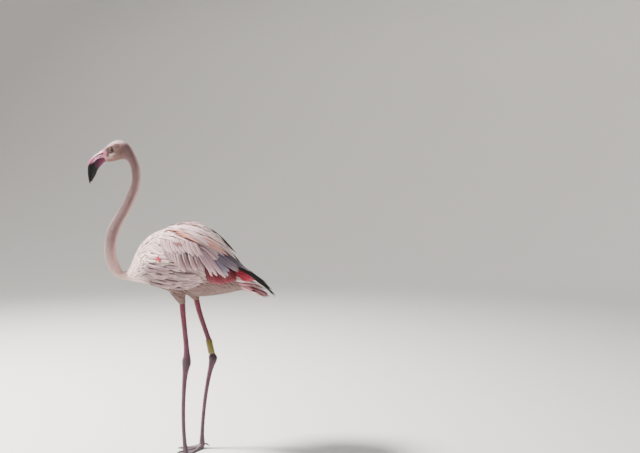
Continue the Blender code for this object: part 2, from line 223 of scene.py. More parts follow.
def largest_shell(mesh):
    """Drops the small closed bubbles that a remesh can leave inside a body."""
    bm = bmesh.new()
    bm.from_mesh(mesh)
    left, shells = set(bm.verts), []
    while left:
        stack, shell = [left.pop()], []
        while stack:
            v = stack.pop()
            shell.append(v)
            for e in v.link_edges:
                w = e.other_vert(v)
                if w in left:
                    left.remove(w)
                    stack.append(w)
        shells.append(shell)
    shells.sort(key=len)
    for shell in shells[:-1]:
        bmesh.ops.delete(bm, geom=shell, context="VERTS")
    bm.to_mesh(mesh)
    bm.free()
    return mesh


def coordinates(mesh, what="co"):
    data = np.empty(len(mesh.vertices) * 3, dtype=np.float32)
    if what == "co":
        mesh.vertices.foreach_get("co", data)
    else:
        mesh.vertex_normals.foreach_get("vector", data)
    return data.reshape(-1, 3).astype(float)


def remeshed(mesh, voxel, passes):
    """A voxel remesh of a mesh, smoothed a few times."""
    return evaluated(mesh, ("REMESH", {"mode": "VOXEL", "voxel_size": voxel}),
                     ("SMOOTH", {"factor": 0.5, "iterations": passes}))


plumage_shape = largest_shell(remeshed(joined_copy(FEATHERED, 0.0004), 0.0027, 9))
print("feathered surface:", len(plumage_shape.vertices), "points")

# %% [markdown]
# ## The lie of the feathers
# Feathers point from the bill to the tail.  A chain of points down the middle of the head,
# neck and trunk gives that direction everywhere: the nearest link's direction, flattened
# onto the surface.  Only the thighs are apart, where feathers point down the leg.

# %% The middle line of the bird, and the lie at any point
MIDDLE_LINE = np.array([
    (-246, 921), (-222, 929), (-203, 937), (-180, 941), (-160, 932), (-147, 912),
    (-139, 888), (-137, 864), (-138, 845), (-143, 822), (-156, 791), (-171, 761),
    (-188, 732), (-205, 702), (-215, 669), (-219, 640), (-217, 612), (-211, 592),
    (-201, 574), (-190, 561), (-176, 556), (-158, 558), (-125, 585), (-85, 603),
    (-30, 608), (40, 602), (100, 585), (150, 556), (190, 533), (235, 510), (290, 484)]) * MM
steps = np.linalg.norm(np.diff(MIDDLE_LINE, axis=0), axis=1)
at = np.concatenate([[0], np.cumsum(steps)])
fine = np.arange(0, at[-1], 0.004)
LINE = np.stack([np.interp(fine, at, MIDDLE_LINE[:, 0]),
                 np.interp(fine, at, MIDDLE_LINE[:, 1])], axis=1)
LINE_WAY = np.gradient(LINE, axis=0)
LINE_WAY /= np.linalg.norm(LINE_WAY, axis=1)[:, None]
NAPE, BREAST = at[6], at[21]          # where the head ends, where the neck ends
print("middle line", round(at[-1], 3), "m, head to", round(NAPE, 3), "neck to",
      round(BREAST, 3))


def along_bird(points):
    """For each point: its distance along the middle line, and the line's direction."""
    place, way = np.empty(len(points)), np.empty((len(points), 3))
    for a in range(0, len(points), 4000):
        flat = points[a:a + 4000, 1:]
        near = np.argmin(((flat[:, None] - LINE[None]) ** 2).sum(2), axis=1)
        place[a:a + 4000] = fine[near]
        way[a:a + 4000] = np.c_[np.zeros(len(near)), LINE_WAY[near]]
    return place, way


def on_thigh(points):
    """1 on the feathered thighs, fading to 0 where they join the belly."""
    x, y, z = points.T
    ahead = np.where(x > 0, y - 0.003, y - 0.03)
    near = np.clip(1.6 - np.hypot(np.abs(x) - 0.045, ahead) / 0.022, 0, 1)
    return near * np.clip((0.509 - z) / 0.014, 0, 1)


def unit(vectors):
    return vectors / np.maximum(np.linalg.norm(vectors, axis=-1, keepdims=True), 1e-9)


def lie(points, normals):
    """The direction that a feather rooted at each point takes."""
    place, way = along_bird(points)
    thigh = on_thigh(points)[:, None]
    z = points[:, 2]
    droop = np.clip((place - BREAST) / 0.05, 0, 1) * np.clip((0.66 - z) / 0.1, 0, 1)
    way = way + np.c_[np.zeros((len(points), 2)), -0.25 * droop]
    way = way * (1 - thigh) + np.array([0, 0.15, -1.0]) * thigh
    return unit(way - normals * (way * normals).sum(1, keepdims=True))


# %% [markdown]
# ## Markings
# One function gives the colour of the plumage at any point of the body, and both the skin
# and every small feather take their colour from it, so a gap between them never shows a
# foreign colour.  The bird is pinkish white, pinker on the head and neck and grey on the
# wing.  Painted shade makes the belly a warm brown and darkens the sides of the neck and
# head and the face round the eye, and a painted highlight lightens the crown.  The large
# feathers of wing and tail have colours of their own, which come with their rows.

# %% Colour at a point
CREAM, NECK_PINK, HEAD_PINK = linear("#F7DCD6"), linear("#DAB2AE"), linear("#D0A09F")
WING_GREY, BELLY_SHADE, TAIL_PINK = linear("#A3868B"), linear("#7E6460"), linear("#B76C78")


def mirrored(points):
    """The points, with those of the right side brought over to the left."""
    return np.c_[np.abs(points[:, 0]), points[:, 1:]]


def spot(points, centre, size):
    """1 inside an ellipsoid on either side, falling smoothly to 0 at its rim."""
    p = mirrored(points)
    r = np.linalg.norm((p - np.array(centre) * MM) / (np.array(size) * MM), axis=1)
    return np.clip((1.15 - r) / 0.3, 0, 1)


def blend(base, colour, share):
    return base * (1 - share[:, None]) + colour * share[:, None]


def ripple(points, scale, seed):
    """A soft irregular value from -1 to 1, about `scale` metres from crest to crest."""
    rng = np.random.default_rng(seed)
    total = np.zeros(len(points))
    for _ in range(5):
        way = unit(rng.normal(size=(1, 3)))[0] / scale * rng.uniform(0.6, 1.6)
        total += np.sin(points @ way * 2 * math.pi + rng.uniform(0, 6.3))
    return total / 3.2


FACE_MARKS = [    # centre and size in mm, colour, strength: each lies over the ones before
    # painted highlight: the pale crown is the top of the head made lighter, as if lit from
    # above
    ((0, -192, 972), (30, 44, 15), "#EFD6D2", 0.8),         # pale crown
    # painted shade: the side of the head behind the eye is made duller and darker
    ((18, -184, 929), (30, 24, 19), "#745850", 0.72),       # duller side of the head
    ((18, -224, 934), (30, 17, 13), "#A04A63", 0.85),       # rose lores
    # painted shade: the chin underneath is made a dark warm brown
    ((0, -197, 908), (26, 32, 9), "#7E5C4C", 0.85),         # warm chin
    # painted shade: the dark mask round the eye and the brow above it, in this entry and the
    # next two
    ((18, -211, 940), (30, 15, 10), "#260F14", 0.95),       # dark mask round the eye
    ((18, -203, 946), (30, 12, 7), "#422726", 0.88),        # brow, which rises to the rear
    ((18, -191, 952), (30, 12, 7), "#553631", 0.88),
    ((18, -218, 926), (30, 4.5, 7.5), "#2A1218", 0.9),      # dark edge before the cheek
    ((18, -208, 924.2), (30, 6.5, 3.2), "#EADCDA", 0.8),    # pale cheek
    ((18, -200, 927.6), (30, 6, 3), "#D9C6C4", 0.7)]


def markings(points):
    place, _ = along_bird(points)
    x, y, z = points.T
    colour = np.repeat(HEAD_PINK[None], len(points), axis=0)
    colour = blend(colour, NECK_PINK, np.clip((place - NAPE + 0.05) / 0.07, 0, 1))
    colour = blend(colour, CREAM, np.clip((place - BREAST + 0.03) / 0.06, 0, 1))
    body = np.clip((place - BREAST - 0.02) / 0.03, 0, 1)
    # painted shade under the body: the belly's plumage turns a dark warm brown towards the
    # bottom
    colour = blend(colour, BELLY_SHADE, body * np.clip((0.585 - z) / 0.05, 0, 1))
    colour = blend(colour, WING_GREY,
                   0.75 * spot(points, (80, 70, 625), (75, 95, 60)))
    colour = blend(colour, TAIL_PINK, np.clip((y - 0.185) / 0.04, 0, 1) * 0.8)
    fleck = 0.5 + 0.5 * ripple(points, 0.028, 6)
    colour = blend(colour, linear("#CDB4B0"), 0.3 * fleck * (place < BREAST))
    # painted shade on the sides of the head and neck, leaving their front and back edges and
    # the crown light
    flat = np.clip((np.abs(x) - 0.004) / 0.008, 0, 1) * np.clip((0.966 - z) / 0.014, 0, 1)
    flat = flat * np.clip((place - NAPE + 0.098) / 0.03, 0, 1)
    flat = flat * np.clip((BREAST - 0.04 - place) / 0.11, 0, 1)
    colour = blend(colour, linear("#5E464C"), 0.82 * flat)
    for centre, size, code, share in FACE_MARKS:
        colour = blend(colour, linear(code), share * spot(points, centre, size))
    return np.clip(colour * (1 + 0.035 * ripple(points, 0.05, 5)[:, None]), 0, 1)


print("markings at the breast:", markings(np.array([[0, -0.1, 0.6]])).round(3))

# %% [markdown]
# ## The skin
# The skin is the joined surface drawn in by the depth of the coat: about 8 mm on the trunk,
# 2 mm on the neck, 1 mm on the head.  The bare legs and feet get finer voxels and keep
# their size, and a Boolean union grows them out of the thighs, so that it's one body.

# %% Draw the body in and grow the legs from it
def coat_depth(points):
    place, _ = along_bird(points)
    depth = 0.0011 + 0.0011 * np.clip((place - NAPE + 0.04) / 0.05, 0, 1)
    depth = depth + 0.006 * np.clip((place - BREAST) / 0.06, 0, 1)
    thigh = on_thigh(points)
    depth = depth * (1 - thigh) + 0.0012 * thigh
    bill_edge = np.clip((-0.228 - points[:, 1]) / 0.008, 0, 1)
    return depth * (1 - 0.8 * bill_edge)


def moved(mesh, offset):
    """A copy of a mesh with each point moved along its normal by its own offset."""
    copy = mesh.copy()
    co = coordinates(mesh) + coordinates(mesh, "normal") * offset[:, None]
    copy.vertices.foreach_set("co", co.ravel())
    copy.update()
    return copy


body_skin = evaluated(moved(plumage_shape, -coat_depth(coordinates(plumage_shape))),
                      ("DECIMATE", {"ratio": 0.45}))
legs = joined_copy(BARE, 0.0005)
bm = bmesh.new()
bm.from_mesh(legs)
for label in SIDES.values():
    points = coordinates(bpy.data.objects["tibia_" + label].data)
    top = points[points[:, 2] > points[:, 2].max() - 0.002].mean(axis=0)
    place = Matrix.Translation(Vector(top) + Vector((0, -0.001, 0.010)))
    bmesh.ops.create_cone(bm, cap_ends=True, segments=20, radius1=0.0068, radius2=0.0068,
                          depth=0.034, matrix=place)
bm.to_mesh(legs)
bm.free()
leg_skin = remeshed(legs, 0.00125, 5)
# most of the half millimetre by which the copies were swollen comes off again here
leg_skin = moved(leg_skin, np.full(len(leg_skin.vertices), -0.0004))
leg_points, leg_normals = coordinates(leg_skin), coordinates(leg_skin, "normal")
ANKLES = {1: (45, 24, 293), -1: (-45, 91, 288)}
KNOBS = [    # the ankle's knuckles: place from its middle, size and height, in mm
    ((10, 0, 0), (7, 7, 11), 1.3), ((-10, 0, 0), (7, 7, 11), 1.3),
    ((0, -12, 7), (7, 6, 7), 1.2), ((0, 9, -5), (7, 6, 9), 0.8)]
knobs = np.zeros(len(leg_points))
for side, ankle in ANKLES.items():
    for place, size, height in KNOBS:
        centre = np.array(ankle) + np.array(place) * (side, 1, 1)
        off = np.linalg.norm((leg_points / MM - centre) / size, axis=1)
        knobs += height * np.exp(-off ** 2 * 1.5)
leg_skin.vertices.foreach_set("co", (leg_points + leg_normals * knobs[:, None] * MM).ravel())
legs_work = bpy.data.objects.new("legs_work", leg_skin)
bpy.context.scene.collection.objects.link(legs_work)
skin_mesh = evaluated(body_skin,
                      ("BOOLEAN", {"operation": "UNION", "object": legs_work,
                                   "solver": "MANIFOLD"}))
bpy.data.objects.remove(legs_work, do_unlink=True)
skin_mesh = largest_shell(skin_mesh)
print("skin:", len(skin_mesh.vertices), "points,",
      sum(len(p.vertices) - 2 for p in skin_mesh.polygons), "triangles")


# %% [markdown]
# ## Skin colour and an unwrap to hang the feathers' colours on
# Under the feathers the skin carries the plumage's own colours, a little darker.  The legs
# are rose at the top and fade through mauve to a lilac grey at the feet, with darker
# ankles.  A coarse copy of the skin is unwrapped once; each feather's bake patch sits at
# its root's place on that unwrap.

# %% Colour the skin
LEG_ROSE, LEG_MAUVE, LEG_GREY = linear("#6C283B"), linear("#573242"), linear("#4E3A45")
ANKLE_DARK, FOOT_LILAC = linear("#35242C"), linear("#5A4C54")


def leg_markings(points):
    z = points[:, 2]
    colour = np.repeat(LEG_ROSE[None], len(points), axis=0)
    colour = blend(colour, LEG_MAUVE, np.clip((0.45 - z) / 0.14, 0, 1))
    colour = blend(colour, LEG_GREY, np.clip((0.24 - z) / 0.2, 0, 1) * 0.75)
    ankle = np.clip(1.3 - np.abs(z - 0.293) / 0.024, 0, 1)
    colour = blend(colour, ANKLE_DARK, ankle * 0.75)
    colour = blend(colour, FOOT_LILAC, np.clip((0.03 - z) / 0.02, 0, 1))
    return np.clip(colour * (1 + 0.10 * ripple(points, 0.022, 8)[:, None]), 0, 1)


def set_tint(mesh, colours):
    data = np.ones((len(colours), 4), dtype=np.float32)
    data[:, :3] = colours
    tint = mesh.attributes.new("tint", "FLOAT_COLOR", "POINT")
    tint.data.foreach_set("color", data.ravel())


PLUME_LINE = 0.4755        # the height at which the thigh's feathers end, in metres
where = coordinates(skin_mesh)
plumed = np.clip((where[:, 2] - PLUME_LINE) / 0.004, 0, 1)[:, None]
set_tint(skin_mesh, markings(where) * 0.8 * plumed + leg_markings(where) * (1 - plumed))
smooth(skin_mesh)

# %% Unwrap a coarse copy of the skin
chart_mesh = evaluated(skin_mesh.copy(), ("DECIMATE", {"ratio": 0.06}),
                       ("TRIANGULATE", {}))
chart = bpy.data.objects.new("chart", chart_mesh)
bpy.context.scene.collection.objects.link(chart)
bpy.context.view_layer.objects.active = chart
chart.select_set(True)
bpy.ops.object.mode_set(mode="EDIT")
bpy.ops.mesh.select_all(action="SELECT")
bpy.ops.uv.smart_project(angle_limit=math.radians(70), island_margin=0.004)
bpy.ops.object.mode_set(mode="OBJECT")


def search_tree(mesh):
    return BVHTree.FromPolygons([v.co[:] for v in mesh.vertices],
                                [p.vertices[:] for p in mesh.polygons])


chart_tree = search_tree(chart_mesh)
chart_uv = np.empty(len(chart_mesh.loops) * 2, dtype=np.float32)
chart_mesh.uv_layers.active.data.foreach_get("uv", chart_uv)
chart_uv = chart_uv.reshape(-1, 3, 2)
chart_corners = coordinates(chart_mesh)[
    np.array([p.vertices[:] for p in chart_mesh.polygons])]


def unwrap_place(points):
    """Where each point falls on the unwrap of the coarse skin."""
    face = np.empty(len(points), dtype=int)
    spot_on = np.empty((len(points), 3))
    for k, p in enumerate(points):
        hit, _, index, _ = chart_tree.find_nearest(p)
        face[k], spot_on[k] = index, hit
    a, b, c = np.moveaxis(chart_corners[face], 1, 0)
    ab, ac, ap = b - a, c - a, spot_on - a
    d00, d01, d11 = (ab * ab).sum(1), (ab * ac).sum(1), (ac * ac).sum(1)
    d20, d21 = (ap * ab).sum(1), (ap * ac).sum(1)
    scale = np.maximum(d00 * d11 - d01 * d01, 1e-18)
    v, w = (d11 * d20 - d01 * d21) / scale, (d00 * d21 - d01 * d20) / scale
    uv = chart_uv[face]
    return uv[:, 0] * (1 - v - w)[:, None] + uv[:, 1] * v[:, None] + uv[:, 2] * w[:, None]


bpy.data.objects.remove(chart, do_unlink=True)
print("unwrap of", len(chart_uv), "faces; islands fill",
      chart_uv.min().round(3), "to", chart_uv.max().round(3))

# %% [markdown]
# ## A feather
# A feather is a thin closed blade.  It starts as a small ring that is extruded ring by
# ring, so its section and its outline can be shaped apart: a section of three or five
# sides does for the small body feathers, and the large ones get nine and a raised shaft.
# One blade is modelled, and then its copies are laid along paths on the body, each row of
# the blade following the surface beneath it.

# %% Model the blades
def blade(rings, section):
    """Extrudes a section of (across, height) into a blade, one unit a ring along Y."""
    bm = bmesh.new()
    bmesh.ops.create_circle(bm, cap_ends=True, segments=len(section), radius=1.0)
    bm.verts.ensure_lookup_table()
    for v, (across, height) in zip(bm.verts[:], section):
        v.co = (across, 0.0, height)
    cap = bm.faces[:]
    for k in range(rings - 1):
        grown = bmesh.ops.extrude_face_region(bm, geom=cap)["geom"]
        bmesh.ops.translate(bm, vec=(0, 1, 0), verts=only(BMVert, grown))
        if k:
            bmesh.ops.delete(bm, geom=cap, context="FACES_ONLY")
        cap = only(BMFace, grown)
    bmesh.ops.recalc_face_normals(bm, faces=bm.faces)
    bm.verts.ensure_lookup_table()
    shape = {
        "across": np.array([v.co.x for v in bm.verts]),
        "ring": np.array([round(v.co.y) for v in bm.verts]),
        "height": np.array([v.co.z for v in bm.verts]),
        "faces": [[v.index for v in f.verts] for f in bm.faces],
        "open": sum(len(e.link_faces) != 2 for e in bm.edges),
        "rings": rings}
    bm.free()
    return shape


TUFT = blade(4, [(-1, 0), (0, 1), (1, 0)])
PLUME = blade(5, [(-1, 0), (-0.4, 0.8), (0.4, 0.8), (1, 0), (0, -0.15)])
QUILL = blade(13, [(-1, 0), (-0.52, 0.72), (-0.07, 1.0), (0, 1.22), (0.07, 1.0),
                   (0.52, 0.72), (1, 0), (0.45, 0.45), (-0.45, 0.45)])
for label, shape in (("tuft", TUFT), ("plume", PLUME), ("quill", QUILL)):
    print(label, "has", len(shape["faces"]), "faces and", shape["open"], "open edges")

# %% Lay copies of a blade along paths
def surface_of(mesh):
    """A search tree of a mesh and a smooth normal for each of its faces."""
    normals = coordinates(mesh, "normal")
    return search_tree(mesh), unit(np.array([normals[list(p.vertices)].mean(axis=0)
                                             for p in mesh.polygons]))


plumage = surface_of(plumage_shape)
bare = surface_of(skin_mesh)


def settle(points, surface=plumage):
    """The nearest points of a surface, and the normals there."""
    place, face = np.empty_like(points), np.empty(len(points), dtype=int)
    for k, p in enumerate(points):
        place[k], _, face[k], _ = surface[0].find_nearest(p)
    return place, surface[1][face]


def trace(roots, normals, ways, lengths, rings, surface=plumage):
    """Paths over the surface: each starts at a root and follows the body's curve."""
    path, up = np.empty((len(roots), rings, 3)), np.empty((len(roots), rings, 3))
    path[:, 0], up[:, 0] = roots, normals
    way = ways
    for k in range(1, rings):
        step = lengths[:, None] / (rings - 1)
        place, normal = settle(path[:, k - 1] + way * step, surface)
        normal = unit(normal + up[:, k - 1])
        path[:, k] = path[:, k - 1] + unit(place - path[:, k - 1]) * step
        up[:, k] = normal
        way = unit(way - normal * (way * normal).sum(1, keepdims=True))
    return path, up


MOST_TRIANGLES = 200_000


def add_piece(name, mesh, material, slot, *nodes):
    """Adds a finished mesh to the bird; it stands for the named solids."""
    mesh.materials.clear()
    mesh.materials.append(material)
    piece = bpy.data.objects.new(name, mesh)
    bpy.context.scene.collection.objects.link(piece)
    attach(piece, "root")
    if nodes:
        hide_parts(*nodes)
    return piece


def laid(name, slot, shape, path, up, half, outline, lift, camber, tint, material,
         ragged=0.0, roll=0.0, shadow=0.0, seed=1):
    """One object of many blades.  `path`, `up` and `tint` are one row a ring; `half` is
    each blade's half width, `outline` the width's share at each ring, `lift` the height
    of each ring above the surface, `camber` the height of the middle over the edges,
    `roll` the turn of each blade round its own shaft and `shadow` how much darker the
    edge is that lies under the neighbour (its sign says which edge)."""
    n, rings = path.shape[:2]
    ring, across, height = shape["ring"], shape["across"], shape["height"]
    along = unit(np.gradient(path, axis=1))
    side = unit(np.cross(along, up))
    over = unit(np.cross(side, along))
    roll = (np.zeros(n) + roll)[:, None, None]
    side, over = (side * np.cos(roll) + over * np.sin(roll),
                  over * np.cos(roll) - side * np.sin(roll))
    width = half[:, None] * np.asarray(outline)[None]
    rng = np.random.default_rng(seed)
    spread = width[:, ring]
    if ragged:
        edge = np.abs(across) > 0.9
        cut = 1 - ragged * rng.random((n, len(ring))) ** 3
        spread = np.where(edge[None], spread * cut, spread)
    where = (path[:, ring] + side[:, ring] * (across[None] * spread)[..., None]
             + over[:, ring] * (lift[:, ring] + height[None] * camber[:, None]
                                * np.sqrt(np.maximum(np.asarray(outline), 0.05))[ring]
                                )[..., None])
    count = len(ring)
    faces = shape["faces"]
    sizes = np.array([len(f) for f in faces])
    corner = np.concatenate(faces)
    loops = (corner[None] + (np.arange(n) * count)[:, None]).ravel()
    mesh = bpy.data.meshes.new(name)
    mesh.vertices.add(n * count)
    mesh.vertices.foreach_set("co", where.reshape(-1).astype(np.float32))
    mesh.loops.add(len(loops))
    mesh.loops.foreach_set("vertex_index", loops.astype(np.int32))
    mesh.polygons.add(n * len(faces))
    mesh.polygons.foreach_set("loop_start", np.concatenate(
        [[0], np.cumsum(np.tile(sizes, n))[:-1]]).astype(np.int32))
    mesh.polygons.foreach_set("use_smooth", np.ones(n * len(faces), dtype=bool))
    mesh.update(calc_edges=True)
    shade = tint[:, ring] * (1 - abs(shadow) * (across * np.sign(shadow) < -0.9))[:, None]
    set_tint(mesh, shade.reshape(-1, 3))
    root = unwrap_place(path[:, 0])
    u = across / 2 + 0.5
    v = ring / (rings - 1)
    own = np.tile(np.c_[u, v], (n, 1))[loops]
    patch = (root[:, None] + np.c_[u - 0.5, v - 0.5][None] * 0.003).reshape(-1, 2)[loops]
    for label, values in (("Vane", own), ("OFBake", patch)):
        mesh.uv_layers.new(name=label).data.foreach_set(
            "uv", values.ravel().astype(np.float32))
    mesh.uv_layers["Vane"].active_render = True
    triangles = n * int((sizes - 2).sum())
    print(f"{name}: {n} blades, {triangles} triangles")
    assert triangles < MOST_TRIANGLES
    return add_piece(name, mesh, material, slot)


# %% [markdown]
# ## What feathers are made of
# A feather is matt keratin: fine barbs slant from the shaft to the edge and catch the
# light as faint lines, the edges are a little paler and softer than the middle, and a
# soft sheen lies over the down.  The barbs are drawn coarser than the real half
# millimetre, because they would not show at all at that size.

# %% Feather materials
FULL_TURN = 6.2832         # in radians


def plumage_material(name, barbs, relief, roughness, sheen, paler, shaft=0.0):
    """`barbs` is the number of drawn barbs along a feather, `paler` lightens its edge."""
    made, tree, shader = start_material(name, Roughness=roughness, Sheen_Weight=sheen,
                                        Sheen_Roughness=0.5, Specular_IOR_Level=0.25)
    shader.inputs["Sheen Tint"].default_value = rgba("#FFF4F0")
    tint = add(tree, "Attribute", attribute_name="tint").outputs["Color"]
    uv = add(tree, "UVMap", uv_map="Vane").outputs["UV"]
    place = add(tree, "SeparateXYZ", {0: uv})
    off = add(tree, "Math", {0: place.outputs["X"], 1: 0.5}, operation="SUBTRACT")
    off = add(tree, "Math", {0: off.outputs[0]}, operation="ABSOLUTE").outputs[0]
    edge = add(tree, "MapRange", {"Value": off, "From Min": 0.26, "From Max": 0.5},
               interpolation_type="SMOOTHSTEP").outputs["Result"]
    tip = add(tree, "MapRange", {"Value": place.outputs["Y"], "From Min": 0.72,
                                 "From Max": 1.0}, interpolation_type="SMOOTHSTEP")
    rim = add(tree, "Math", {0: edge, 1: tip.outputs["Result"]}, operation="MAXIMUM")
    rim = add(tree, "Math", {0: rim.outputs[0], 1: paler}, operation="MULTIPLY").outputs[0]
    lit = add(tree, "Mix", {"Factor": rim, "A": tint, "B": rgba("#FFF7F4")},
              data_type="RGBA")
    slant = add(tree, "Math", {0: place.outputs["Y"], 1: barbs}, operation="MULTIPLY")
    slant = add(tree, "Math", {0: off, 1: -barbs * 0.35, 2: slant.outputs[0]},
                operation="MULTIPLY_ADD")
    turn = add(tree, "Math", {0: slant.outputs[0], 1: FULL_TURN}, operation="MULTIPLY")
    wave = add(tree, "Math", {0: turn.outputs[0]}, operation="SINE").outputs[0]
    dark = add(tree, "Math", {0: wave, 1: 0.045, 2: 0.975}, operation="MULTIPLY_ADD")
    colour = add(tree, "Mix", {"Factor": 1.0, "A": lit.outputs["Result"],
                               "B": dark.outputs[0]},
                 data_type="RGBA", blend_type="MULTIPLY").outputs["Result"]
    if shaft:
        line = add(tree, "MapRange", {"Value": off, "From Min": 0.05, "From Max": 0.02,
                                      "To Max": shaft})
        colour = add(tree, "Mix", {"Factor": line.outputs["Result"], "A": colour,
                                   "B": rgba("#F3E9E4")}, data_type="RGBA")
        colour = colour.outputs["Result"]
    bump = add(tree, "Bump", {"Height": wave, "Strength": relief, "Distance": 0.0002})
    tree.links.new(colour, shader.inputs["Base Color"])
    tree.links.new(bump.outputs["Normal"], shader.inputs["Normal"])
    return made


body_feather = plumage_material("keratin, soft body feathers", 9, 0.25, 0.8, 0.08, 0.06)
print("made", body_feather.name)


# %% [markdown]
# ## The skin's own finish
# Bare skin shows on the legs, between the toes and round the eyes.  It's a tough, slightly
# oily leather of small plates: a fine cell pattern of about 2 mm gives the plates between
# the modelled scales.

# %% Make the skin
skin_look, tree, shader = start_material("scaly skin, living leather", Roughness=0.5,
                                         Specular_IOR_Level=0.4)
tint = add(tree, "Attribute", attribute_name="tint").outputs["Color"]
spots = add(tree, "TexCoord").outputs["Object"]
cells = add(tree, "TexVoronoi", {"Vector": spots, "Scale": 520.0},
            feature="DISTANCE_TO_EDGE").outputs["Distance"]
groove = add(tree, "MapRange", {"Value": cells, "From Min": 0.0, "From Max": 0.22,
                                "To Min": 0.8, "To Max": 1.02})
mottle = add(tree, "TexNoise", {"Vector": spots, "Scale": 60.0, "Detail": 3.0})
shade = add(tree, "MapRange", {"Value": mottle.outputs["Fac"], "From Min": 0.3,
                               "From Max": 0.7, "To Min": 0.92, "To Max": 1.06})
shade = add(tree, "Math", {0: groove.outputs["Result"], 1: shade.outputs["Result"]},
            operation="MULTIPLY").outputs[0]
colour = add(tree, "Mix", {"Factor": 1.0, "A": tint, "B": shade}, data_type="RGBA",
             blend_type="MULTIPLY").outputs["Result"]
relief = add(tree, "Bump", {"Height": cells, "Strength": 0.4, "Distance": 0.0005})
tree.links.new(colour, shader.inputs["Base Color"])
tree.links.new(relief.outputs["Normal"], shader.inputs["Normal"])

skin_mesh.polygons.foreach_set("material_index", [0] * len(skin_mesh.polygons))
add_piece("skin", skin_mesh, skin_look, "body_feathers", *FEATHERED, *BARE)
print("skin stands for", len(FEATHERED) + len(BARE), "solids")

# %% [markdown]
# ## The coat
# Small feathers are scattered so that no two roots are closer than a set spacing, which
# looks natural and leaves no clumps.  They are smallest on the face, a little longer down
# the neck, and long and narrow on the back and breast.

# %% Scatter roots
def triangles_of(mesh):
    mesh.calc_loop_triangles()
    corners = coordinates(mesh)[np.array([t.vertices[:] for t in mesh.loop_triangles])]
    return corners, np.array([t.area for t in mesh.loop_triangles])


plumage_triangles, bare_triangles = triangles_of(plumage_shape), triangles_of(skin_mesh)
EYE_AT = np.array([16.2, -208.0, 943.0]) * MM


def scatter(spacing, wanted, seed, triangles=plumage_triangles, surface=plumage):
    """Roots at least `spacing` apart where `wanted(points)` says so (from 0 to 1)."""
    rng = np.random.default_rng(seed)
    corners, sizes = triangles
    middle = wanted(corners.mean(axis=1)) > 0
    chance = sizes * middle
    count = int(chance.sum() / spacing ** 2 * 6)
    pick = rng.choice(len(corners), size=count, p=chance / chance.sum())
    a, b = rng.random((2, count, 1))
    flip = a + b > 1
    a, b = np.where(flip, 1 - a, a), np.where(flip, 1 - b, b)
    points = (corners[pick, 0] * (1 - a - b) + corners[pick, 1] * a
              + corners[pick, 2] * b)
    points = points[rng.random(count) < wanted(points)]
    kept, cells = [], {}
    for p in points:
        key = tuple((p // spacing).astype(int))
        near = (q for dx in (-1, 0, 1) for dy in (-1, 0, 1) for dz in (-1, 0, 1)
                for q in cells.get((key[0] + dx, key[1] + dy, key[2] + dz), ()))
        if all((p[0] - q[0]) ** 2 + (p[1] - q[1]) ** 2 + (p[2] - q[2]) ** 2
               > spacing ** 2 for q in near):
            kept.append(p)
            cells.setdefault(key, []).append(p)
    return settle(np.array(kept), surface)


EYE_RING, BILL_EDGE = 0.0078, -0.2335


def bare_face(points):
    """1 round the eyes and ahead of the bill's edge, where no feathers grow.  The middle
    of the neck's forward bulge lies ahead of that edge too, so a strip there stays bare."""
    eye = np.linalg.norm(mirrored(points) - EYE_AT - (0.0045, 0, 0), axis=1) < EYE_RING
    return (eye | (points[:, 1] < BILL_EDGE)).astype(float)


def covered(points):
    """1 where the large wing feathers lie over the small ones."""
    return spot(points, (85, 95, 618), (60, 98, 66))


def coat(name, slot, shape, roots, up, length, half, outline, root_lift, tip_lift,
         camber, shades, stray, seed, tone=0.05):
    """Feathers over scattered roots; `shades` darkens or lightens them ring by ring: the
    darker roots are partly the feathers' own grey bases and partly painted shade where the
    feathers above lie over them.
    """
    rng = np.random.default_rng(seed)
    n, rings = len(roots), shape["rings"]
    way = lie(roots, up)
    turn = rng.normal(0, stray, n)[:, None]
    way = way * np.cos(turn) + np.cross(up, way) * np.sin(turn)
    size = rng.uniform(0.85, 1.15, n)
    path, ups = trace(roots, up, way, length * size, rings)
    clear = ~bare_face(path.reshape(-1, 3)).reshape(n, rings).astype(bool).any(axis=1)
    roots, path, ups, size = roots[clear], path[clear], ups[clear], size[clear]
    n = len(roots)
    share = np.linspace(0, 1, rings)
    depth = coat_depth(roots)[:, None]
    under = covered(roots)[:, None] * 0.0035
    lift = (-depth * root_lift) * (1 - share) + (tip_lift - under) * share
    lift = lift + rng.uniform(-0.3, 0.5, (n, 1)) * camber * share
    base = markings(path.reshape(-1, 3)).reshape(n, rings, 3)
    own = 1 + tone * rng.normal(size=(n, 1, 1))
    # darker roots: partly the grey feather bases, partly painted shade under the feathers
    # above
    tint = np.clip(base * own * np.asarray(shades)[None, :, None], 0, 1)
    laid(name, slot, shape, path, ups, half * size, outline, lift,
         camber * (1 + 0.3 * rng.random(n)), tint, body_feather, ragged=0.25,
         roll=rng.normal(0, 0.10, n), seed=seed)


# %% Head and neck
def head_zone(points):
    place, _ = along_bird(points)
    return (place < NAPE) * (1 - bare_face(points))


def neck_zone(points):
    place, _ = along_bird(points)
    return ((place >= NAPE) & (place < BREAST - 0.01)).astype(float)


roots, up = scatter(0.00122, head_zone, 11)
coat("head_feathers", "head_feathers", TUFT, roots, up, 0.0056, 0.00085,
     (0.7, 1.0, 0.8, 0.15), 0.42, 0.00005, 0.00005, (0.97, 0.99, 1.0, 1.01), 0.08, 11,
     tone=0.03)
roots, up = scatter(0.0016, neck_zone, 12)
coat("neck_feathers", "head_feathers", TUFT, roots, up, 0.0092, 0.0012,
     (0.6, 1.0, 0.75, 0.1), 0.5, 0.00012, 0.0001, (0.93, 0.97, 1.0, 1.02), 0.10, 12,
     tone=0.03)

# %% Breast, back, belly and thighs
CHEST_END, RUMP, BELLY_TOP = BREAST + 0.075, 0.2, 0.585
NARROW = (0.4, 0.85, 1.0, 0.7, 0.1)


def thigh_zone(points):
    return (on_thigh(points) > 0.35).astype(float)


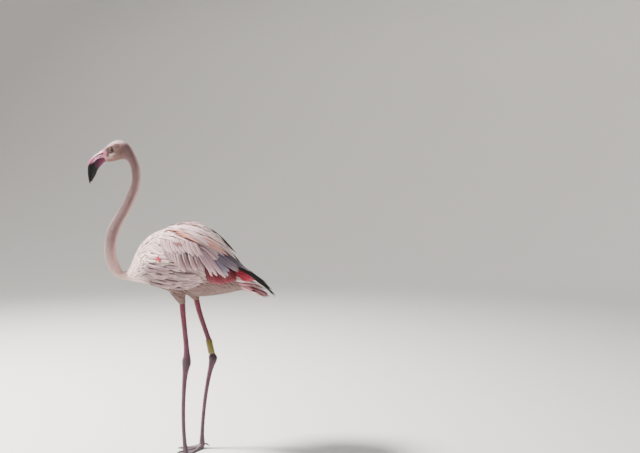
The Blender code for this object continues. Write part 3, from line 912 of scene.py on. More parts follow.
def front_zone(points):
    place, _ = along_bird(points)
    return ((place >= BREAST - 0.01) & (place < CHEST_END)) * (1 - thigh_zone(points))


def behind_chest(points):
    place, _ = along_bird(points)
    return ((place >= CHEST_END) & (points[:, 1] < RUMP)) * (1 - thigh_zone(points))


def back_zone(points):
    return behind_chest(points) * (points[:, 2] > BELLY_TOP)


def belly_zone(points):
    return behind_chest(points) * (points[:, 2] <= BELLY_TOP)


roots, up = scatter(0.0025, thigh_zone, 13)
coat("thigh_feathers", "body_feathers", TUFT, roots, up, 0.011, 0.0016,
     (0.6, 1.0, 0.75, 0.1), 0.6, 0.0003, 0.0003, (0.85, 0.93, 1.0, 1.04), 0.14, 13)
roots, up = scatter(0.0040, front_zone, 14)
coat("breast_feathers", "body_feathers", PLUME, roots, up, 0.021, 0.0030, NARROW, 0.45,
     0.0005, 0.0005, (0.88, 0.93, 0.98, 1.01, 1.03), 0.14, 14)
roots, up = scatter(0.0056, back_zone, 15)
coat("back_feathers", "wing_feathers", PLUME, roots, up, 0.036, 0.0042, NARROW, 0.6,
     0.0012, 0.0011, (0.68, 0.8, 0.93, 1.02, 1.06), 0.16, 15)
roots, up = scatter(0.0050, belly_zone, 16)
coat("belly_feathers", "body_feathers", PLUME, roots, up, 0.027, 0.0036, NARROW, 0.5,
     0.0004, 0.0006, (0.82, 0.9, 0.97, 1.01, 1.03), 0.12, 16)


# %% [markdown]
# ## The folded wing
# A folded wing is a stack of rows: crimson coverts lowest, black flight feathers that end
# over the tail, then lilac grey tertials, round-tipped grey coverts, and long peach and
# white scapulars that drape over all of it from the back.  Each row is laid between a line
# of roots and a line of tips, seen from the side, and settles on the body.  Every feather
# of a row is turned a little round its shaft, so that its upper edge tucks under its
# neighbour, where that edge is painted darker as shade.

# %% Lay a row of large feathers on one side
def on_side(side, places, spare_x):
    """Points of the surface seen from one side at (y, z) in mm; False where it misses."""
    points, hits = np.empty((len(places), 3)), np.zeros(len(places), dtype=bool)
    for k, (y, z) in enumerate(np.asarray(places) * MM):
        hit = plumage[0].ray_cast((side * 0.3, y, z), (-side, 0, 0))[0]
        hits[k] = hit is not None and hit.x * side > 0
        points[k] = hit if hits[k] else (side * spare_x, y, z)
    return points, hits


def along_polyline(places, count):
    places = np.asarray(places, dtype=float)
    at = np.linspace(0, len(places) - 1, count)
    own = np.arange(len(places))
    return np.c_[np.interp(at, own, places[:, 0]), np.interp(at, own, places[:, 1])]


LONG_TIP = (0.3, 0.55, 0.76, 0.9, 0.97, 1.0, 1.0, 0.99, 0.95, 0.87, 0.73, 0.5, 0.12)
ROUND_TIP = (0.35, 0.6, 0.8, 0.92, 0.98, 1.0, 1.0, 1.0, 0.99, 0.95, 0.86, 0.66, 0.25)


def ramp(codes):
    """Colours spread evenly over a large feather's rings, root first."""
    known = np.array([linear(c) for c in codes])
    at = np.linspace(0, len(codes) - 1, QUILL["rings"])
    return np.stack([np.interp(at, np.arange(len(codes)), known[:, i]) for i in range(3)],
                    axis=-1)


CAMBER, TUCK = 1.3, 3.0          # in mm: a vane's arch, and how deep its root sits


def feather_fan(name, slot, start, end, rests, level, half, lift, colours, material,
                bow=0.05, roll=0.16, outline=ROUND_TIP, seed=1, tone=0.05, side=1,
                shadow=0.25, second=None):
    """Large feathers from `start` to `end` points, in metres; other sizes in mm.  Where
    a tip doesn't rest on the body, its feather runs straight out and faces `level`.
    A `second` list of colours goes to every other pair of feathers."""
    rng = np.random.default_rng(seed)
    count, rings = len(start), QUILL["rings"]
    share = np.linspace(0, 1, rings)[None, :, None]
    line = start[:, None] * (1 - share) + end[:, None] * share
    reach = np.linalg.norm(end - start, axis=1)[:, None, None]
    across = unit(np.cross(unit(end - start), level))[:, None] * side
    line = line + across * np.sin(share * math.pi) * reach * bow
    place, up = settle(line.reshape(-1, 3))
    place, up = place.reshape(line.shape), up.reshape(line.shape)
    free = np.where(rests, 0.0, 1.0)[:, None, None] * np.clip(share * 2 - 0.8, 0, 1)
    path = place * (1 - free) + line * free
    up = unit(up * (1 - free) + np.asarray(level) * free)
    for _ in range(2):
        path[:, 1:-1] = (path[:, :-2] + path[:, 1:-1] * 2 + path[:, 2:]) / 4
        up[:, 1:-1] = unit(up[:, :-2] + up[:, 1:-1] * 2 + up[:, 2:])
    rise = np.clip(np.linspace(0, 2.5, rings), 0, 1)
    height = (-TUCK * (1 - rise) + lift * rise)[None] * MM
    height = height + rng.uniform(-0.5, 0.8, (count, 1)) * MM * share[..., 0]
    odd = (np.arange(count) // 2 % 2 == 1)[:, None, None]
    # most rows' colours run from a darker root, partly the feather's own grey base and partly
    # painted shade under the row above, to a paler tip
    shade = np.where(odd, ramp(second or colours), ramp(colours))
    own = 1 + tone * rng.normal(size=(count, 1, 1)) * np.array([1.0, 1.15, 1.1])
    tint = np.clip(shade * own, 0, 1)
    return laid(name, slot, QUILL, path, up, half * MM * rng.uniform(0.88, 1.12, count),
                outline, height, CAMBER * MM * rng.uniform(0.7, 1.3, count), tint,
                material, ragged=0.12, roll=side * roll + rng.normal(0, 0.05, count),
                shadow=side * shadow, seed=seed)


def feather_row(name, slot, side, count, roots, tips, half, lift, colours, material,
                wander=2.0, spare_x=0.03, seed=1, **more):
    """A fan on one side between lines of roots and tips, seen from that side, in mm."""
    rng = np.random.default_rng(seed * 2 + (side < 0))
    root = along_polyline(roots, count) + rng.normal(0, wander, (count, 2))
    tip = along_polyline(tips, count) + rng.normal(0, wander, (count, 2))
    if side < 0:            # this wing is held higher at the shoulder, lower at its tip
        for line in (root, tip):
            line[:, 1] += np.interp(line[:, 0], [60, 120, 180], [3, -6, -12])
    start, _ = on_side(side, root, spare_x)
    end, rests = on_side(side, tip, spare_x)
    return feather_fan(f"{name}_{SIDES[side]}", slot, start, end, rests,
                       unit(np.array([side, 0, 0.3])), half, lift, colours, material,
                       seed=seed * 2 + (side < 0), side=side, **more)


# %% The lower rows: crimson, black and lilac
large_feather = plumage_material("keratin, large wing feathers", 34, 0.3, 0.62, 0.06, 0.14,
                                 shaft=0.3)
crimson_feather = plumage_material("keratin, crimson coverts", 34, 0.3, 0.6, 0.02, 0.04)
dark_feather = plumage_material("keratin, black flight feathers", 40, 0.3, 0.5, 0.0, 0.02,
                                shaft=0.06)
CRIMSONS = ["#320610", "#4A0A17", "#600F21", "#7A192F"]
REAR_REDS = ["#650E20", "#8A162E", "#A42640", "#C04C64"]


def wing_row(name, side, count, roots, tips, half, lift, colours, **more):
    """A row of the wing's common feathers."""
    feather_row(name, "wing_feathers", side, count, roots, tips, half, lift, colours,
                large_feather, **more)


for side in SIDES:
    feather_row("crimson_coverts", "wing_feathers", side, 11,
                [(84, 614), (104, 612), (140, 600)], [(104, 540), (138, 538), (170, 547)],
                9.5, 3.6, CRIMSONS, crimson_feather, roll=0.1, wander=0.8, seed=22)
    wing_row("pink_covert", side, 1, [(91, 612), (92, 613)], [(105, 565), (106, 566)], 5.0,
             5.6, ["#C9707C", "#D98C94", "#E2B4B4", "#D88E94"], wander=0.5, seed=46)
    feather_row("rear_crimson_coverts", "wing_feathers", side, 5,
                [(160, 590), (168, 568)], [(236, 547), (212, 539)], 7.5, 3.0, REAR_REDS,
                crimson_feather, bow=0.0, roll=0.12, wander=1.0, spare_x=0.018, seed=23)
    flight = feather_row("flight_feathers", "flight_feathers", side, 6,
                         [(140, 616), (148, 610), (152, 604)],
                         [(262, 532), (276, 514), (288, 496)], 3.1, 4.6,
                         ["#171416", "#110F10", "#0B0A0A"], dark_feather, bow=-0.035,
                         outline=LONG_TIP, wander=1.0, spare_x=0.013, seed=21)
    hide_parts("primaries_" + SIDES[side])
    wing_row("lilac_tertials", side, 9, [(74, 668), (86, 650), (94, 630)],
             [(182, 592), (176, 570), (146, 560)], 7.6, 4.6,
             ["#463B51", "#574A61", "#6B5D72", "#95828F"], bow=0.03, outline=LONG_TIP,
             wander=2.5, tone=0.12, shadow=0.4, seed=24)
    wing_row("long_tertials", side, 3, [(112, 644), (118, 634)], [(186, 590), (202, 577)],
             4.8, 5.0, ["#3C3242", "#463B4C", "#52465A"], bow=0.0, outline=LONG_TIP,
             wander=1.0, seed=51)

# %% The middle rows: grey, rose and cream coverts
CREAMY = ["#B18F91", "#DCB9BA", "#F5D5D5", "#FFE4E6"]
GREYISH = ["#6B5356", "#82696E", "#9D787E", "#BC969B"]
for side in SIDES:
    wing_row("long_coverts", side, 5, [(44, 670), (64, 658)], [(106, 576), (143, 560)], 7.6,
             5.0, ["#684E5A", "#8C6B79", "#AE8793", "#CCA6B0"], bow=0.03, wander=2.0,
             tone=0.1, shadow=0.4, seed=25)
    wing_row("round_coverts", side, 8, [(-36, 664), (4, 654), (52, 648)],
             [(-10, 613), (22, 583), (76, 582)], 9.2, 4.2, GREYISH, bow=0.06, roll=0.24,
             wander=2.5, tone=0.11, shadow=0.35, seed=26)
    wing_row("short_grey_coverts", side, 10, [(-50, 680), (0, 686), (50, 680)],
             [(-26, 632), (20, 630), (78, 618)], 8.4, 4.8,
             ["#74575D", "#9C787E", "#BF999D", "#D9B4B7"], bow=0.05, roll=0.18, wander=2.5,
             tone=0.1, shadow=0.3, seed=47)
    feather_row("red_fleck", "wing_feathers", side, 1, [(-58, 626), (-57, 625)],
                [(-40, 607), (-40, 607)], 5.0, 5.4, ["#8E1C32", "#C22E48", "#CC4058"],
                crimson_feather, wander=0.5, outline=LONG_TIP, seed=48)
    wing_row("rose_flecks", side, 3, [(-14, 668), (2, 666)], [(6, 650), (26, 648)], 3.0,
             6.6, ["#6D373E", "#814749", "#995C5C"], wander=1.5, seed=49)
    wing_row("shoulder_coverts", side, 17, [(-98, 608), (-88, 650), (-46, 692)],
             [(-56, 602), (-40, 634), (0, 678)], 4.8, 2.4, CREAMY, roll=0.22, wander=5.0,
             tone=0.09, outline=LONG_TIP, seed=34)
    wing_row("lesser_coverts", side, 17, [(-70, 612), (-56, 645), (-16, 690)],
             [(-22, 602), (-4, 628), (42, 664)], 5.0, 3.2,
             ["#98767C", "#C09B9E", "#DCB7B9", "#F2CECF"], roll=0.22, wander=5.0, tone=0.09,
             outline=LONG_TIP, seed=35)

# %% The scapulars, which drape from the back over all of them
PEACHY = ["#966B6C", "#B46F64", "#D08E7C", "#D39387"]
for side in SIDES:
    wing_row("grey_scapulars", side, 9, [(-4, 690), (28, 684), (50, 668)],
             [(96, 646), (134, 616), (124, 596)], 6.0, 5.0,
             ["#6D545D", "#90727B", "#B49298", "#D3B2B4"], bow=-0.02, roll=0.22,
             outline=LONG_TIP, wander=3.0, tone=0.1, seed=36)
    wing_row("peach_front", side, 4, [(-34, 696), (-8, 684)], [(34, 684), (72, 655)], 4.6,
             5.8, PEACHY, bow=-0.03, roll=0.2, outline=LONG_TIP, wander=1.5, tone=0.08,
             seed=27)
    wing_row("peach_rear", side, 4, [(36, 682), (56, 664)], [(130, 642), (148, 616)], 3.8,
             6.2, PEACHY, bow=-0.03, roll=0.2, outline=LONG_TIP, wander=1.5, tone=0.08,
             seed=28)
    wing_row("pale_between", side, 7, [(-20, 696), (24, 682)], [(78, 666), (140, 628)], 4.2,
             6.0, ["#8D6E73", "#B69397", "#D4B2B3", "#EBCACC"], bow=-0.03, roll=0.2,
             outline=LONG_TIP, wander=4.0, tone=0.08, seed=50)
    wing_row("white_scapulars", side, 11, [(-44, 702), (0, 710), (40, 704)],
             [(62, 680), (106, 669), (142, 643)], 5.2, 4.8,
             ["#A38487", "#CCAAAC", "#EBCACB", "#FDE2E3"], bow=-0.02, roll=0.22,
             outline=LONG_TIP, wander=3.0, tone=0.08, seed=29)
    wing_row("back_plumes", side, 10, [(-64, 694), (-24, 708), (20, 713)],
             [(16, 688), (50, 692), (88, 684)], 5.2, 4.0, CREAMY, bow=-0.02, roll=0.2,
             wander=3.5, outline=LONG_TIP, tone=0.08, seed=37)
    wing_row("back_streaks", side, 4, [(-16, 710), (10, 712)], [(38, 708), (74, 698)], 3.0,
             5.0, ["#7E5655", "#976B68", "#AC817D"], bow=-0.02, outline=LONG_TIP,
             wander=1.5, tone=0.08, seed=52)

# %% Loose plumes of the flanks, and the far wing's dark edges
for side in SIDES:
    for k, (front, rear) in enumerate((
            (((-114, 562), (-100, 602)), ((-52, 552), (-44, 592))),
            (((-90, 545), (-74, 606)), ((-22, 536), (-8, 592))),
            (((-62, 534), (-44, 600)), ((10, 528), (24, 582))),
            (((-28, 530), (-12, 590)), ((44, 530), (58, 568))),
            (((8, 534), (24, 572)), ((72, 536), (80, 560))))):
        feather_row(f"flank_plumes_{k + 1}", "body_feathers", side, 8, front, rear, 5.4,
                    3.4, ["#65535A", "#80696F", "#96777C", "#C09FA0"], large_feather,
                    bow=0.07, outline=LONG_TIP, wander=5.0, tone=0.11, roll=0.34,
                    shadow=0.35, seed=60 + k)
feather_row("crossed_tips", "flight_feathers", -1, 3, [(48, 702), (58, 696)],
            [(146, 650), (164, 632)], 3.4, 6.0, ["#6F6670", "#4A444C", "#242127"],
            dark_feather, bow=-0.05, outline=LONG_TIP, wander=1.0, spare_x=0.006, seed=45)
wing_row("far_shoulder", -1, 5, [(-66, 688), (-52, 696)], [(-16, 704), (0, 704)], 4.0, 4.0,
         ["#4A2C3C", "#643A4A", "#7E4E5C"], bow=0.03, outline=LONG_TIP, wander=1.5, seed=59)


# %% [markdown]
# ## The tail
# Flamingos have a short tail of a dozen pale pink feathers, whose upper coverts are white
# with deeper pink streaks.  The feathers fan out a little and lie on one another like
# roof tiles, the middle pair on top.

# %% Lay the tail feathers and their coverts
POINTED = (0.35, 0.6, 0.8, 0.92, 0.98, 1.0, 0.97, 0.9, 0.8, 0.66, 0.48, 0.28, 0.05)
TAIL_ROSE = ["#963A4F", "#A5485B", "#B45D6D", "#C9828C"]


def tail_fan(name, count, root_y, root_z, tip_y, tip_z, spread, half, lift, colours, seed,
             second=None):
    """A fan across the tail; `spread` is the outer feathers' x at root and tip, in mm."""
    out = np.linspace(-1, 1, count)
    out = out[np.argsort(-np.abs(out), kind="stable")]
    drop = 1 - np.abs(out) ** 2
    start = np.c_[out * spread[0], np.full(count, root_y), root_z - 9 + 9 * drop] * MM
    end = np.c_[out * spread[1], tip_y - 9 + 9 * drop, tip_z - 3 + 3 * drop] * MM
    end[:, 1] -= np.random.default_rng(seed).uniform(0, 7, count) * MM
    feather_fan(name, "body_feathers", start, end, np.zeros(count, dtype=bool),
                unit(np.array([0, 0.35, 0.94])), half, lift, colours, large_feather,
                roll=0.0, bow=0.0, seed=seed, outline=POINTED, second=second)


tail_fan("tail_feathers", 12, 178, 534, 276, 490, (27, 20), 6.4, 0.5,
         ["#BC858D", "#C9989F", "#D9B5B8", "#EAD5D5"], 31, second=TAIL_ROSE)
tail_fan("tail_coverts_pink", 9, 168, 549, 264, 512, (28, 21), 6.2, 2.0,
         ["#A65E6B", "#BC7A85", "#CF9AA1", "#E4C8C8"], 32, second=TAIL_ROSE)
tail_fan("tail_coverts_white", 7, 164, 556, 256, 529, (26, 20), 6.4, 3.2,
         ["#D9C2C2", "#E6D5D3", "#EFE3E0", "#F5EEEB"], 33)


# %% [markdown]
# ## The bill
# The horny bill bends down in the middle.  Its pale pink upper half is the narrower one,
# the deep pink lower half is a deep trough, and both end in black.  Copies of the two
# solids are remeshed finely, and then their points are moved and painted: a slit of a
# nostril and a groove beside it, pressed in and darkened with painted shade, a pale strip
# of painted highlight along each half's edge at the gape, and the comb of fine lamellae
# along the gape.

# %% Paint the two halves
def near_line(points, line, width):
    """1 on a chain of (y, z) in mm, falling to 0 at `width` mm from it."""
    line = np.asarray(line, dtype=float) * MM
    best = np.full(len(points), 9.0)
    flat = points[:, 1:]
    for a, b in zip(line[:-1], line[1:]):
        t = np.clip(((flat - a) @ (b - a)) / ((b - a) @ (b - a)), 0, 1)
        best = np.minimum(best, np.linalg.norm(flat - a - t[:, None] * (b - a), axis=1))
    return np.clip(1 - best / (width * MM), 0, 1)


NOSTRIL = [(-236, 928.6), (-243, 928.0), (-250, 925.0), (-257, 919.8)]
GROOVE = [(-257, 919.8), (-263, 914), (-268.5, 906.5), (-273, 898), (-276, 890)]
GAPE = [(-222.5, 921), (-234, 920.8), (-243.4, 920.2), (-254.3, 915.7), (-262, 908),
        (-267.5, 900.7), (-270, 891.7), (-272.5, 877.9), (-274.5, 861), (-276, 847)]
BILL_PALE, BILL_PINK = linear("#BD8399"), linear("#8C4263")
BILL_DEEP, BILL_ROSE = linear("#360828"), linear("#5E183C")
BILL_BLACK, SLIT_SHADE = linear("#050606"), linear("#3E1C2A")


def bill_paint(points, upper):
    y, z = points[:, 1], points[:, 2]
    edge = ripple(points, 0.011, 41) * 0.0012
    if upper:
        ridge = np.clip((0.5 - near_line(points, GAPE, 22)) * 1.8, 0, 1)
        colour = blend(np.repeat(BILL_PINK[None], len(points), axis=0), BILL_PALE, ridge)
        # painted highlight: a pale strip along the upper half's edge at the gape
        colour = blend(colour, BILL_PALE * 1.05, near_line(points, GAPE, 6))
        # painted shade in the pressed-in groove and nostril slit
        colour = blend(colour, SLIT_SHADE, 0.85 * near_line(points, GROOVE, 3.4))
        colour = blend(colour, SLIT_SHADE, np.clip(1.3 * near_line(points, NOSTRIL, 3.6), 0, 1))
        black = np.clip((0.8985 + edge - z + 0.30 * (y + 0.278)) / 0.003, 0, 1)
    else:
        colour = blend(np.repeat(BILL_DEEP[None], len(points), axis=0), BILL_ROSE,
                       np.clip((y + 0.253) / 0.02, 0, 1))
        # painted highlight: a pale strip along the top of the lower half at the gape
        lip_highlight = near_line(points, np.array(GAPE) + (0, -1.2), 3.6)
        colour = blend(colour, BILL_PALE, np.clip(lip_highlight * 1.6, 0, 0.85))
        black = np.clip((0.8835 + edge - z - 2.2 * (y + 0.2534)) / 0.005, 0, 1)
    return blend(colour * (1 + 0.06 * ripple(points, 0.006, 42))[:, None], BILL_BLACK,
                 black)


# %% The grain of horn
def roughen(tree, shader, grain, dull, relief, span=(0.0, 1.0)):
    """Lets a grain set the roughness between two `dull` values, and stand out by
    `relief`, a strength and a depth in metres."""
    rough = add(tree, "MapRange", {"Value": grain, "From Min": span[0], "From Max": span[1],
                                   "To Min": dull[0], "To Max": dull[1]})
    bump = add(tree, "Bump", {"Height": grain, "Strength": relief[0],
                              "Distance": relief[1]})
    tree.links.new(rough.outputs["Result"], shader.inputs["Roughness"])
    tree.links.new(bump.outputs["Normal"], shader.inputs["Normal"])


def grained(name, scale, detail, shades, dull=None, relief=None, **sockets):
    """A material with the mesh's own colours, which a fine grain darkens and lightens
    between two `shades`."""
    made, tree, shader = start_material(name, **sockets)
    tint = add(tree, "Attribute", attribute_name="tint").outputs["Color"]
    place = add(tree, "TexCoord").outputs["Object"]
    grain = add(tree, "TexNoise", {"Vector": place, "Scale": scale,
                                   "Detail": detail}).outputs["Fac"]
    wear = add(tree, "MapRange", {"Value": grain, "From Min": 0.3, "From Max": 0.7,
                                  "To Min": shades[0], "To Max": shades[1]})
    colour = add(tree, "Mix", {"Factor": 1.0, "A": tint, "B": wear.outputs["Result"]},
                 data_type="RGBA", blend_type="MULTIPLY")
    tree.links.new(colour.outputs["Result"], shader.inputs["Base Color"])
    if relief:
        roughen(tree, shader, grain, dull, relief)
    return made


bill_horn = grained("keratin, bill horn", 320.0, 4.0, (0.92, 1.05), (0.28, 0.48),
                    (0.12, 0.0004), Roughness=0.36, Specular_IOR_Level=0.28)
print("made", bill_horn.name)


# %% Shape the two halves
def bill_half(name, node, slot, upper):
    mesh = largest_shell(remeshed(joined_copy([node], 0.0), 0.00075, 4))
    co, normal = coordinates(mesh), coordinates(mesh, "normal")
    side_on = np.clip(np.abs(normal[:, 0]) * 1.6 - 0.2, 0, 1)
    push = np.zeros(len(co))
    if upper:
        push -= 0.0020 * near_line(co, NOSTRIL, 2.0) * side_on
        push -= 0.0007 * near_line(co, GROOVE, 2.2) * side_on
        push += 0.0004 * near_line(co, np.array(NOSTRIL) + (1.0, 3.0), 2.4) * side_on
    comb = near_line(co, GAPE, 3.0) * side_on
    angle = np.arctan2(co[:, 2] - 0.86, co[:, 1] + 0.22)
    push += 0.00022 * comb * np.sin(angle * 210)
    rim = np.array(GAPE) + (0, 2.4 if upper else -2.4)
    push += 0.0005 * near_line(co, rim, 2.2) * side_on
    co = co + normal * push[:, None]
    # the root of each half runs a little way in under the skin of the face
    root = (co[:, 1] + 0.2376) * 0.989 + (co[:, 2] - 0.9424) * 0.15
    co[:, 1] += 0.004 * np.clip((root + 0.0014) / 0.001, 0, 1)
    mesh.vertices.foreach_set("co", co.ravel())
    set_tint(mesh, np.clip(bill_paint(co, upper), 0, 1))
    smooth(mesh)
    add_piece(name, mesh, bill_horn, slot, node)
    print(name, "has", len(mesh.polygons), "faces")


bill_half("bill_above", "upper_bill", "bill_pink", True)
bill_half("bill_below", "lower_bill", "bill_deep_pink", False)


# %% [markdown]
# ## The eyes
# A flamingo's eye is a pale yellow iris with a round black pupil.  The ball is a
# sphere whose front bulges a little as the cornea does, and the lids are two soft rolls
# of bare skin that close round it.

# %% Eyeballs
eye_wet = grained("cornea and iris, wet eye", 1400.0, 2.0, (0.85, 1.1), Roughness=0.12,
                  Coat_Weight=1.0, Coat_Roughness=0.03)
IRIS, PUPIL, SCLERA = linear("#A68B46"), linear("#050505"), linear("#3A2A20")
IRIS_EDGE, PUPIL_EDGE = 0.66, 0.33        # shares of the ball's radius


def eyeball(side):
    node = "eye_" + SIDES[side]
    low, high = (np.array(c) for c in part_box(node))
    middle, radius = (low + high) / 2, (high - low)[2] / 2
    bm = bmesh.new()
    bmesh.ops.create_uvsphere(bm, u_segments=48, v_segments=40, radius=radius)
    bmesh.ops.rotate(bm, matrix=Matrix.Rotation(side * math.pi / 2, 3, "Y"),
                     verts=bm.verts)
    colours = []
    for v in bm.verts:
        off = math.hypot(v.co.y, v.co.z) / radius if v.co.x * side > 0 else 1.0
        bulge = max(0.0, 1 - (off / IRIS_EDGE) ** 2)
        v.co.x += side * 0.0007 * bulge
        colour = SCLERA
        if off < IRIS_EDGE:
            colour = IRIS * (0.95 - 0.5 * max(0.0, off - 0.42))
        if off < PUPIL_EDGE:
            colour = PUPIL
        colours.append(colour)
    bmesh.ops.translate(bm, vec=middle, verts=bm.verts)
    mesh = mesh_from(bm, "eyeball")
    smooth(mesh)
    set_tint(mesh, np.array(colours))
    add_piece("eyeball_" + SIDES[side], mesh, eye_wet, "eye", node)
    return middle, radius


# %% Eyelids
def eyelids(side, middle, radius):
    """Both lids as one ring of skin: from an almond opening on the ball it spreads out
    over the face, with a rolled rim and a few fine folds."""
    gaze = unit(np.array([side, -0.12, 0.04]))
    ahead = unit(np.cross([0, 0, side], gaze))
    above = unit(np.cross(gaze, ahead)) * side
    above = above * np.sign(above[2])
    bm = bmesh.new()
    bmesh.ops.create_circle(bm, segments=56, radius=1.0)
    edges, rings = bm.edges[:], 16
    for v in bm.verts:
        v.co.z = 0.0
    for k in range(1, rings + 1):
        grown = bmesh.ops.extrude_edge_only(bm, edges=edges)["geom"]
        for v in only(BMVert, grown):
            v.co.z = k / rings
        edges = only(BMEdge, grown)
    points = []
    for v in bm.verts:
        t, angle = v.co.z, math.atan2(v.co.y, v.co.x)
        corner = abs(math.cos(angle))
        opening = 2.6 + 1.3 * corner ** 3 - (0.25 if math.sin(angle) > 0 else 0)
        out = (opening + (8.6 - opening) * t) * MM
        flat = ahead * math.cos(angle) * out + above * math.sin(angle) * out
        ball = math.sqrt(max((radius + 0.00075) ** 2 - out ** 2, 0.0))
        far = Vector(middle + flat + gaze * 0.03)
        hit = bare[0].ray_cast(far, Vector(-gaze))[0]
        face = float(np.dot(np.array(hit) - middle, gaze)) if hit else 0.0
        share = np.clip((t - 0.15) / 0.75, 0, 1)
        share = share * share * (3 - 2 * share)
        high = ball * (1 - share) + (face + 0.00005) * share
        rim = 0.00035 * math.exp(-((t - 0.10) / 0.07) ** 2)
        fold = 0.00013 * math.sin(t * 26) * math.sin(math.pi * min(t * 1.1, 1.0))
        points.append(middle + flat + gaze * (high + rim + fold))
    for v, p in zip(bm.verts, points):
        v.co = p
    bmesh.ops.recalc_face_normals(bm, faces=bm.faces)
    if sum(f.normal.x * side for f in bm.faces) < 0:
        bmesh.ops.reverse_faces(bm, faces=bm.faces)
    bmesh.ops.solidify(bm, geom=bm.faces[:], thickness=0.0005)
    mesh = mesh_from(bm, "eyelids")
    smooth(mesh)
    co = coordinates(mesh)
    off = np.linalg.norm((co - middle) - np.outer((co - middle) @ gaze, gaze), axis=1)
    shade = blend(np.repeat(linear("#40252A")[None], len(co), axis=0), linear("#6E4348"),
                  np.clip((off - 0.0042) / 0.0028, 0, 1))
    set_tint(mesh, shade)
    piece = add_piece("eyelids_" + SIDES[side], mesh, skin_look, "head_feathers")
    print(piece.name, "has", len(mesh.polygons), "faces")


for side in SIDES:
    eyelids(side, *eyeball(side))


# %% [markdown]
# ## Scales on the legs and toes
# The legs are armoured with horny plates: broad scutes like half rings down the front and
# the back of the shank, small many-sided scales on the sides and round the ankle, and
# short scutes across the toes.  A scute is the same kind of blade as a feather, but its
# path runs round the leg.

# %% Plates
SCUTE = blade(7, [(-1, 0), (-0.6, 0.85), (0.6, 0.85), (1, 0), (0, -0.5)])
SCALE = blade(4, [(-1, 0), (-0.5, 0.8), (0.5, 0.8), (1, 0)])
plate_horn = grained("keratin, horny leg plates", 700.0, 3.0, (0.88, 1.1), (0.34, 0.55),
                     (0.2, 0.0002), Roughness=0.42, Specular_IOR_Level=0.5)
skin_points = coordinates(skin_mesh)


def leg_centre(side, z):
    """The middle of a leg's section at a height."""
    near = skin_points[(np.abs(skin_points[:, 2] - z) < 0.0025)
                       & (np.abs(skin_points[:, 0] - side * 0.045) < 0.022)]
    return np.array([*((near.min(axis=0) + near.max(axis=0)) / 2)[:2], z])


def plates(name, shape, path, up, half, outline, seed, thick=0.36):
    rng = np.random.default_rng(seed)
    n, rings = path.shape[:2]
    tint = leg_markings(path.reshape(-1, 3)).reshape(n, rings, 3) * 1.04
    tint = np.clip(tint * (1 + 0.06 * rng.normal(size=(n, 1, 1))), 0, 1)
    laid(name, "leg_skin", shape, path, up, half * MM * rng.uniform(0.94, 1.04, n),
         outline, np.full((n, rings), 0.04 * MM), np.full(n, thick * MM), tint, plate_horn,
         seed=seed)


def scutes(name, side, facing, heights, sweep, seed):
    """Half rings at each height; `facing` is -1 for the front and 1 for the back."""
    rings, paths, ups, halves = SCUTE["rings"], [], [], []
    for z, next_z in zip(heights[:-1], heights[1:]):
        middle = leg_centre(side, z)
        angles = np.linspace(-sweep, sweep, rings)
        out = np.c_[np.sin(angles), facing * np.cos(angles), np.zeros(rings)]
        hits = [bare[0].ray_cast(Vector(middle + d * 0.03), Vector(-d)) for d in out]
        if any(h[0] is None for h in hits):
            continue
        paths.append([h[0][:] for h in hits])
        ups.append(out)
        halves.append(abs(next_z - z) / MM * 0.49)
    paths, ups = np.array(paths), np.array(ups)
    _, up = settle(paths.reshape(-1, 3), bare)
    ups = unit(ups + up.reshape(ups.shape))
    plates(name, SCUTE, paths, ups, np.array(halves),
           (0.6, 0.9, 1.0, 1.0, 1.0, 0.9, 0.6), seed)


rng = np.random.default_rng(51)
shank = 0.030 + np.cumsum(rng.uniform(0.0042, 0.0054, 49))
thigh_bone = 0.322 + np.cumsum(rng.uniform(0.0044, 0.0056, 29))
for side, label in SIDES.items():
    scutes("shank_scutes_" + label, side, -1, shank, 1.05, 52)
    scutes("shank_back_scutes_" + label, side, 1, shank + 0.002, 0.7, 53)
    scutes("upper_scutes_" + label, side, -1, thigh_bone, 0.95, 54)
    scutes("upper_back_scutes_" + label, side, 1, thigh_bone + 0.002, 0.75, 55)


# %% Small scales on the sides, the ankles and the feet
centres = {side: np.array([leg_centre(side, z) for z in np.arange(0.02, 0.48, 0.004)])
           for side in SIDES}


def round_the_leg(points):
    """The angle from straight ahead of each point round its own leg."""
    angle = np.empty(len(points))
    for side, line in centres.items():
        own = points[:, 0] * side > 0
        y = np.interp(points[own, 2], line[:, 2], line[:, 1])
        x = np.interp(points[own, 2], line[:, 2], line[:, 0])
        angle[own] = np.abs(np.arctan2(points[own, 0] - x, y - points[own, 1]))
    return angle


def side_scale_zone(points):
    z, angle = points[:, 2], round_the_leg(points)
    sides = (angle > 1.0) & (angle < math.pi - 0.68)
    ankle = (z > 0.268) & (z < 0.325)
    return ((z > 0.028) & (z < 0.472) & (sides | ankle)).astype(float)


def foot_scale_zone(points):
    return ((points[:, 2] < 0.030) & (points[:, 2] > 0.0042)).astype(float)


def small_scales(name, spacing, zone, length, half, seed, way):
    roots, up = scatter(spacing, zone, seed, bare_triangles, bare)
    way = np.repeat(np.array([way], dtype=float), len(roots), axis=0)
    way = unit(way - up * (way * up).sum(1, keepdims=True))
    size = np.full(len(roots), length)
    path, ups = trace(roots - way * length / 2, up, way, size, SCALE["rings"], bare)
    plates(name, SCALE, path, ups, half, (0.55, 1.0, 1.0, 0.5), seed)


small_scales("leg_scales", 0.0026, side_scale_zone, 0.0030, 1.25, 56, (0, 0, -1.0))
small_scales("foot_scales", 0.0022, foot_scale_zone, 0.0026, 1.05, 57, (0, -1.0, -0.2))

